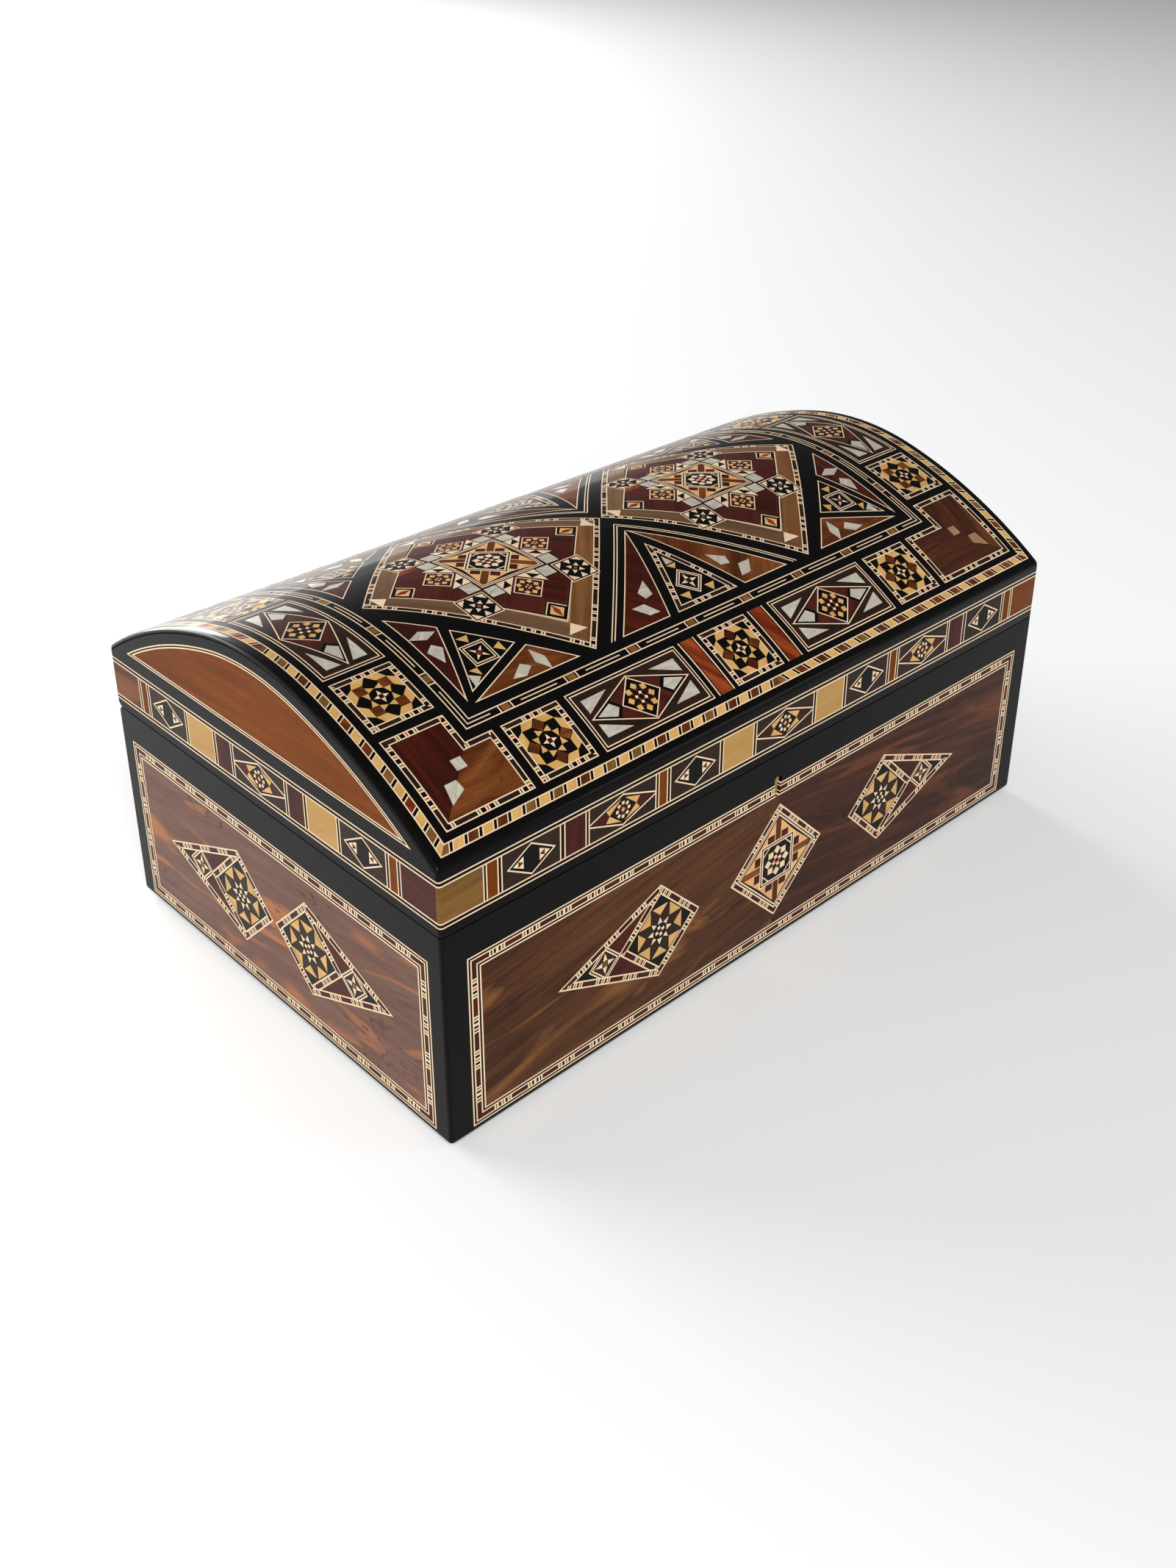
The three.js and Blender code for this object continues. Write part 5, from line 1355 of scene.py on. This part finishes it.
side_ends = [cutting for x in (-RING_END, RING_END) for cutting in moved(pearl_rectangle(44.4, 19.6), x, 90)]
sheet_design = [("ebony", rectangle_of(dome_end, NOSE_END), 0)]
sheet_design += front_and_back(ring_panels()) + side_ends
sheet_design += front_and_back(both_sides(end_spandrel()) + middle_spandrel())
sheet_design += [("pocket", points, 0) for points in (
    [c + w for c in star_outline] for w in (-STAR_CENTRE, STAR_CENTRE))]
rope = rope_banding(rope_outer, ROPE_WIDTH)
frame_laid = frame_banding(frame_outer)
ring_cover = bands(rope_outer, ("pocket", ROPE_WIDTH))[0] + bands(frame_outer, ("pocket", FRAME_WIDTH))[0]

marquetry("dome_sheet", sheet_design + ring_cover, on_dome, SHEET, "lid", "lid_dome_veneer",
          curve_lines(NOSE_END) + roll_lines(END_RADIUS, -99, 99), seed=31)
marquetry("dome_rope_banding", rope, on_dome, POCKET_DEPTH, "lid", "dome_edge_banding",
          curve_lines(ROPE_OUTER[1]), seed=32)
marquetry("dome_frame_banding", frame_laid, on_dome, POCKET_DEPTH, "lid", "dome_inner_frame",
          curve_lines(FRAME_OUTER[1]), seed=33)
for name, way in (("left", -1), ("right", 1)):
    marquetry(f"dome_{name}_star", moved(star_square(), way * STAR_CENTRE), on_dome, POCKET_DEPTH, "lid",
              f"dome_{name}_star_square", curve_lines(STAR_HALF[1]), seed=34)

# %% [markdown]
# ## The wooden case
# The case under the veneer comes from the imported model. Its beech shows only on the rims and where the
# lid opens, and the floor board's edge is stained black. Inside a solid board the grain has to run
# through, so these finishes read the place on the box instead of a flat drawing.

# %% Finishes of the case
def give(material, *nodes):
    """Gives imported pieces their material; their meshes stay as they are."""
    for node in nodes:
        mesh = bpy.data.objects[node].data
        mesh.materials.clear()
        mesh.materials.append(material)


BEECH = ((206, 166, 120), (176, 130, 86), (128, 86, 54), 0.6, 0.4, 0.5, *NO_FIGURE, 0.4)
beech_along_x = wood("beech_along_x", *BEECH, along="X")
beech_along_y = wood("beech_along_y", *BEECH, along="Y")
EBONY_RAIL = ((12, 10, 9), (6, 5, 5), (26, 20, 16), 0.5, 0.4, 0.4)
give(beech_along_x, "base_front_wall", "base_back_wall", "lid_front_rail", "lid_back_rail", "lid_dome_board")
give(beech_along_y, "base_left_wall", "base_right_wall", "lid_left_end_board", "lid_right_end_board")
ebony_along_x = wood("ebony_along_x", *EBONY_RAIL, along="X")
ebony_along_y = wood("ebony_along_y", *EBONY_RAIL, along="Y")
give(ebony_along_x, "front_ebony_surround", "back_ebony_surround", "base_floor_board")
give(ebony_along_y, "left_ebony_surround", "right_ebony_surround")

# %% [markdown]
# ## Brass and steel
# The hinges and the lock are stamped brass that has dulled in the hand, and the pins, the bolt and its
# spring are plain steel. A node group gives both their cloudy tarnish and fine brushing.

# %% Metal finishes
def make_tarnish():
    tree, given, result = new_group(
        "tarnish",
        [("Clean", COLOR), ("Dull", COLOR), ("Amount", VALUE)],
        [("Color", COLOR), ("Roughness", VALUE), ("Height", VALUE)])
    place = add(tree, "ShaderNodeTexCoord").outputs["Object"]
    cloud = ramp(tree, add(tree, "ShaderNodeTexNoise", Vector=place, Scale=260.0, Detail=4.0).outputs["Fac"],
                 0.35, 0.7)
    brushing = stretched_noise(tree, place, 400, 9000, 2.0)
    color = mixed(tree, maths(tree, "MULTIPLY", cloud, given["Amount"]), given["Clean"], given["Dull"])
    tree.links.new(color, result.inputs["Color"])
    tree.links.new(maths(tree, "ADD", maths(tree, "MULTIPLY", cloud, 0.22), 0.24), result.inputs["Roughness"])
    tree.links.new(brushing, result.inputs["Height"])
    return tree


tarnish = make_tarnish()


def metal(name, clean, dull, amount):
    material, tree, shader = new_material(name, metallic=1.0)
    group = add(tree, "ShaderNodeGroup", {"node_tree": tarnish}, Clean=ink(clean), Dull=ink(dull),
                Amount=amount)
    dress(tree, shader, group, 0.12)
    return material


brass = metal("dulled_brass", (214, 178, 104), (146, 108, 58), 0.7)
steel = metal("plain_steel", (190, 190, 186), (112, 108, 102), 0.6)
give(brass, "lock_case", "lock_back_plate", "lock_strike_plate", "hinge_left_base_leaf",
     "hinge_right_base_leaf", "hinge_left_lid_leaf", "hinge_right_lid_leaf")
give(steel, "lock_bolt", "lock_spring", "hinge_left_pin", "hinge_right_pin")

# %% [markdown]
# ## Screws and pins
# Each hinge leaf is held by three small countersunk screws. One is modelled: a cone for the head, its
# shank drawn out of the narrow end, and a slot cut across the top, and the others are copies of it. Pins
# with low domed heads hold the lock's edge plate and the strike plate above it. They have to be low,
# because the two plates come within half a millimetre of each other when the lid is shut.

# %% One screw, copied
def start_piece(name, adder, scale=(1, 1, 1), **options):
    """Adds a primitive with nothing else selected, and settles its size and place in its mesh."""
    bpy.ops.object.select_all(action="DESELECT")
    adder(**options)
    piece = bpy.context.object
    piece.scale = scale
    piece.name = piece.data.name = name
    bpy.ops.object.transform_apply(location=True, rotation=True, scale=True)
    return piece


def block(name, half_x, half_y, low, high):
    """A cuboid round the box's middle line; its sizes and heights are in millimetres."""
    return start_piece(name, bpy.ops.mesh.primitive_cube_add, size=1, location=(0, 0, (low + high) / 2 * MM),
                       scale=(2 * half_x * MM, 2 * half_y * MM, (high - low) * MM))


def select_where(piece, kind, test):
    """In edit mode, selects the edges that pass a test on their two ends, or the faces by their normal."""
    net_of_piece = bmesh.from_edit_mesh(piece.data)
    bpy.ops.mesh.select_all(action="DESELECT")
    for item in getattr(net_of_piece, kind):
        item.select = test(item.normal) if kind == "faces" else test(*(v.co for v in item.verts))
    net_of_piece.select_flush_mode()
    bmesh.update_edit_mesh(piece.data)


def apply_modifier(piece, kind, **settings):
    """Adds a modifier and turns its result into the piece's own mesh."""
    modifier = piece.modifiers.new(kind.lower(), kind)
    for key, value in settings.items():
        setattr(modifier, key, value)
    bpy.context.view_layer.objects.active = piece
    bpy.ops.object.modifier_apply(modifier=modifier.name)


HEAD_RADIUS = 1.72 * MM
HEAD_DEPTH = 0.84 * MM
SHANK_RADIUS = 0.8 * MM
SHANK_LENGTH = 4 * MM
screw = start_piece("screw", bpy.ops.mesh.primitive_cone_add, vertices=24, radius1=SHANK_RADIUS,
                    radius2=HEAD_RADIUS, depth=HEAD_DEPTH, location=(0, 0, -HEAD_DEPTH / 2))
bpy.ops.object.mode_set(mode="EDIT")
bpy.ops.mesh.select_mode(type="FACE")
select_where(screw, "faces", lambda normal: normal.z < -0.9)
bpy.ops.mesh.extrude_region_move(TRANSFORM_OT_translate={"value": (0, 0, -SHANK_LENGTH)})
bpy.ops.transform.resize(value=(0.55, 0.55, 1))
select_where(screw, "faces", lambda normal: normal.z > 0.9)
bpy.ops.mesh.inset(thickness=0.12 * MM)
bpy.ops.transform.translate(value=(0, 0, 0.03 * MM))
bpy.ops.object.mode_set(mode="OBJECT")
slot_cutter = start_piece("slot_cutter", bpy.ops.mesh.primitive_cube_add, size=1,
                          location=(0, 0, 0), scale=(5 * MM, 0.42 * MM, 0.7 * MM))
apply_modifier(screw, "BOOLEAN", operation="DIFFERENCE", object=slot_cutter, solver="EXACT")
bpy.data.objects.remove(slot_cutter)
screw.data.materials.append(brass)
print("screw has", len(screw.data.polygons), "faces")


def copy_of(piece, name, place, turn, body):
    """A copy with its own mesh; place is in millimetres and turn is a matrix."""
    twin = piece.copy()
    twin.data = piece.data.copy()
    twin.name = twin.data.name = name
    bpy.context.collection.objects.link(twin)
    twin.data.transform(Matrix.Translation(Vector(place) * MM) @ turn)
    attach(twin, body)


HINGE_X, SCREW_Y = 75, 70.75
SCREW_STEP = 9.8
SCREW_SINK = 0.04
chance = random.Random(8)
for hinge, hinge_x in (("left", -HINGE_X), ("right", HINGE_X)):
    for number, step in enumerate((-SCREW_STEP, 0, SCREW_STEP)):
        for body, face, flip in (("base", SEAM - SCREW_SINK, 0), ("lid", LID_FOOT + SCREW_SINK, math.pi)):
            turn = Matrix.Rotation(flip, 4, "X") @ Matrix.Rotation(chance.uniform(0, math.pi), 4, "Z")
            copy_of(screw, f"hinge_{hinge}_{body}_screw_{number + 1}", (hinge_x + step, SCREW_Y, face),
                    turn, body)
bpy.data.objects.remove(screw)

# %% [markdown]
# ## The pins of the lock
# Five small round-headed pins hold the lock's plates. One is cut from a flattened ball, which gets a
# shank, and is copied to its places.

# %% One pin, copied
PIN_RADIUS, PIN_RISE = 1.0 * MM, 0.2 * MM
CUT_SLACK = 0.001 * MM
PIN_Y = -70.45
pin = start_piece("pin", bpy.ops.mesh.primitive_uv_sphere_add, segments=20, ring_count=10, radius=1,
                  scale=(PIN_RADIUS, PIN_RADIUS, PIN_RISE))
bpy.ops.object.mode_set(mode="EDIT")
bpy.ops.mesh.select_all(action="SELECT")
bpy.ops.mesh.bisect(plane_co=(0, 0, 0), plane_no=(0, 0, 1), clear_inner=True, use_fill=True,
                    threshold=CUT_SLACK)
bpy.ops.mesh.select_mode(type="FACE")
select_where(pin, "faces", lambda normal: normal.z < -0.9)
bpy.ops.mesh.inset(thickness=0.45 * MM)
bpy.ops.mesh.extrude_region_move(TRANSFORM_OT_translate={"value": (0, 0, -SHANK_LENGTH)})
bpy.ops.object.mode_set(mode="OBJECT")
bpy.ops.object.shade_smooth_by_angle(angle=math.radians(50))
pin.data.materials.append(brass)
for number, pin_x in enumerate((-20.2, -10.5, 17.3)):
    copy_of(pin, f"lock_plate_pin_{number + 1}", (pin_x, PIN_Y, SEAM), Matrix.Identity(4), "base")
for number, pin_x in enumerate((-4.6, 20.8)):
    copy_of(pin, f"strike_plate_pin_{number + 1}", (pin_x, PIN_Y, LID_FOOT), Matrix.Rotation(math.pi, 4, "X"),
            "lid")
bpy.data.objects.remove(pin)

# %% [markdown]
# ## Red velvet
# The inside can't be seen in the photograph. Boxes of this kind are lined with red velvet glued over
# card, with a thin pad of wadding on the floor, and stand on a sheet of felt. Velvet is darker where
# one looks into its pile and pale at a slant, which the shader's sheen gives.

# %% Velvet and felt
def make_nap():
    tree, given, result = new_group(
        "brushed_nap",
        [("Cloth", COLOR), ("Brushed", COLOR), ("Pile", VALUE)],
        [("Color", COLOR), ("Height", VALUE)])
    place = add(tree, "ShaderNodeTexCoord").outputs["Object"]
    strokes = add(tree, "ShaderNodeTexNoise", Vector=place, Scale=75.0, Detail=3.0, Distortion=0.5)
    pile = add(tree, "ShaderNodeTexNoise", Vector=place, Scale=given["Pile"], Detail=2.0)
    soft = ramp(tree, strokes.outputs["Fac"], 0.4, 0.65)
    tree.links.new(mixed(tree, soft, given["Cloth"], given["Brushed"]), result.inputs["Color"])
    tree.links.new(pile.outputs["Fac"], result.inputs["Height"])
    return tree


nap = make_nap()


def cloth(name, color, brushed, pile, sheen, bump):
    """Cloth with a nap that is paler where it was brushed the other way."""
    material, tree, shader = new_material(name, roughness=0.9, Sheen_Weight=sheen, Sheen_Roughness=0.35,
                                          Sheen_Tint=ink(brushed), Specular_IOR_Level=0.15)
    group = add(tree, "ShaderNodeGroup", {"node_tree": nap}, Cloth=ink(color), Brushed=ink(brushed),
                Pile=pile)
    dress(tree, shader, group, bump, rise=0.0003)
    return material


def settle(piece, material, body, node):
    """Gives a piece its cloth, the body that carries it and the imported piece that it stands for."""
    piece.data.materials.append(material)
    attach(piece, body)
    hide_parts(node)


velvet = cloth("red_velvet", (112, 14, 22), (130, 22, 30), 2600.0, 0.6, 0.45)
felt_cloth = cloth("green_felt", (34, 58, 42), (48, 76, 56), 1500.0, 0.2, 0.6)

# %% [markdown]
# ## The felt under the box
# A sheet of green felt is glued under the floor, so that the box doesn't scratch a table. It's cut with
# round corners, and its edge is a little soft.

# %% Underside felt
FELT_HALF_X, FELT_HALF_Y, FELT_THICK = 120, 72, 0.95
FELT_CORNER = 5
felt = block("felt_sheet", FELT_HALF_X, FELT_HALF_Y, 0, FELT_THICK)
bpy.ops.object.mode_set(mode="EDIT")
bpy.ops.mesh.select_mode(type="EDGE")
select_where(felt, "edges", lambda a, b: abs(a.z - b.z) > 1e-4)
bpy.ops.mesh.bevel(offset=FELT_CORNER * MM, segments=6, affect="EDGES")
bpy.ops.mesh.select_mode(type="FACE")
select_where(felt, "faces", lambda normal: abs(normal.z) > 0.9)
bpy.ops.mesh.bevel(offset=0.2 * MM, segments=2, affect="EDGES")
bpy.ops.object.mode_set(mode="OBJECT")
settle(felt, felt_cloth, "base", "underside_felt")

# %% [markdown]
# ## The linings of the walls
# Velvet over card runs round inside the four walls, with its edges turned over. The lid's lining is cut
# to the arch of the dome, so its upper edge meets the lining above it.

# %% Lining of the base and the lid's walls
LINING_HALF_X, LINING_HALF_Y, LINING_THICK = 115.7, 67.7, 1.5


def wall_lining(name, low, high, body, node, arched):
    """A band of velvet round the inside of four walls."""
    band = block(name, LINING_HALF_X, LINING_HALF_Y, low, high)
    bpy.ops.object.mode_set(mode="EDIT")
    bpy.ops.mesh.select_mode(type="FACE")
    select_where(band, "faces", lambda normal: abs(normal.z) > 0.9)
    bpy.ops.mesh.delete(type="ONLY_FACE")
    bpy.ops.mesh.select_mode(type="EDGE")
    select_where(band, "edges", lambda a, b: abs(a.y - b.y) > 1e-4)
    bpy.ops.mesh.subdivide(number_cuts=27)
    bpy.ops.mesh.select_all(action="SELECT")
    bpy.ops.mesh.normals_make_consistent(inside=False)
    bpy.ops.object.mode_set(mode="OBJECT")
    apply_modifier(band, "SOLIDIFY", thickness=LINING_THICK * MM, offset=-1.0, use_even_offset=True)
    if arched:
        for vertex in band.data.vertices:
            if vertex.co.z > low * MM + 1e-5:
                vertex.co.z = arch_height(vertex.co.y / MM, LINING_DEPTH) * MM
    apply_modifier(band, "BEVEL", width=0.45 * MM, segments=3, limit_method="ANGLE", angle_limit=0.9)
    settle(band, velvet, body, node)
    return band


LINING_DEPTH = 8.7
BASE_LINING = (7.05, 67.0)
LID_LINING = (70.4, 80.0)
base_lining = wall_lining("base_velvet", *BASE_LINING, "base", "base_wall_lining", False)
lid_lining = wall_lining("lid_velvet", *LID_LINING, "lid", "lid_wall_lining", True)

# %% [markdown]
# ## The lining under the dome
# A single piece of velvet over card is bent under the dome board. It's a flat grid lifted to the arch,
# then given its thickness and soft edges.

# %% Lining under the dome
VAULT_HALF_X, VAULT_HALF_Y = 115.35, 67.35
VAULT_TOP = 6.8
vault = start_piece("dome_velvet", bpy.ops.mesh.primitive_grid_add, x_subdivisions=2, y_subdivisions=60,
                    size=1, scale=(2 * VAULT_HALF_X * MM, 2 * VAULT_HALF_Y * MM, 1))
for vertex in vault.data.vertices:
    vertex.co.z = arch_height(vertex.co.y / MM, VAULT_TOP) * MM
apply_modifier(vault, "SOLIDIFY", thickness=LINING_THICK * MM, offset=-1.0, use_even_offset=True)
apply_modifier(vault, "BEVEL", width=0.4 * MM, segments=2, limit_method="ANGLE", angle_limit=0.9)
settle(vault, velvet, "lid", "lid_dome_lining")

# %% [markdown]
# ## The floor pad
# The pad is a card covered with thin wadding and velvet. Its shape comes from the wadding pushing the
# velvet out, so it is blown up a little as cloth, with its foot kept flat on the floor board.

# %% Floor pad
PAD_HALF_X, PAD_HALF_Y = 114.2, 66.2
PAD_LOW, PAD_HIGH = 7.3, 9.5
PAD_FOOT = 7.07
PAD_SWELL = 1.35
CLOTH_FRAMES = 20
pad = block("velvet_floor_pad", PAD_HALF_X, PAD_HALF_Y, PAD_LOW, PAD_HIGH)
bpy.ops.object.mode_set(mode="EDIT")
bpy.ops.mesh.select_mode(type="EDGE")
select_where(pad, "edges", lambda a, b: abs(a.z - b.z) > 1e-4)
bpy.ops.mesh.bevel(offset=6 * MM, segments=5, affect="EDGES")
bpy.ops.object.mode_set(mode="OBJECT")
apply_modifier(pad, "REMESH", mode="VOXEL", voxel_size=2.2 * MM)


def blown_up(piece, foot):
    """Swells a piece as cloth with its foot held, then limits how far its points have moved."""
    before = [vertex.co.copy() for vertex in piece.data.vertices]
    held = piece.vertex_groups.new(name="held")
    held.add([k for k, place in enumerate(before) if place.z < foot], 1.0, "REPLACE")
    swell = piece.modifiers.new("wadding", "CLOTH")
    swell.settings.vertex_group_mass = "held"
    swell.settings.use_pressure = True
    swell.settings.uniform_pressure_force = 4
    swell.settings.effector_weights.gravity = 0
    swell.point_cache.frame_end = CLOTH_FRAMES
    for frame_number in range(1, CLOTH_FRAMES + 1):
        bpy.context.scene.frame_set(frame_number)
    bpy.context.view_layer.objects.active = piece
    bpy.ops.object.modifier_apply(modifier="wadding")
    bpy.context.scene.frame_set(1)
    moves = [vertex.co - place for vertex, place in zip(piece.data.vertices, before)]
    furthest = max(move.length for move in moves)
    share = min(1, PAD_SWELL * MM / furthest)
    for vertex, place, move in zip(piece.data.vertices, before, moves):
        vertex.co = place + move * share
    print("the cloth rose", round(furthest / MM, 2), "mm, of which", round(share, 2), "is kept")


blown_up(pad, (PAD_LOW + 0.9) * MM)
apply_modifier(pad, "SUBSURF", levels=1, render_levels=1)
lowest = min(vertex.co.z for vertex in pad.data.vertices)
pad.data.transform(Matrix.Translation((0, 0, PAD_FOOT * MM - lowest)))
bpy.ops.object.shade_smooth()
settle(pad, velvet, "base", "floor_pad")
pad_low, pad_high = min(v.co.z for v in pad.data.vertices), max(v.co.z for v in pad.data.vertices)
pad_reach = max(abs(v.co.x) for v in pad.data.vertices), max(abs(v.co.y) for v in pad.data.vertices)
print("pad from", round(pad_low / MM, 2), "to", round(pad_high / MM, 2), "mm high, reaching",
      [round(r / MM, 2) for r in pad_reach])
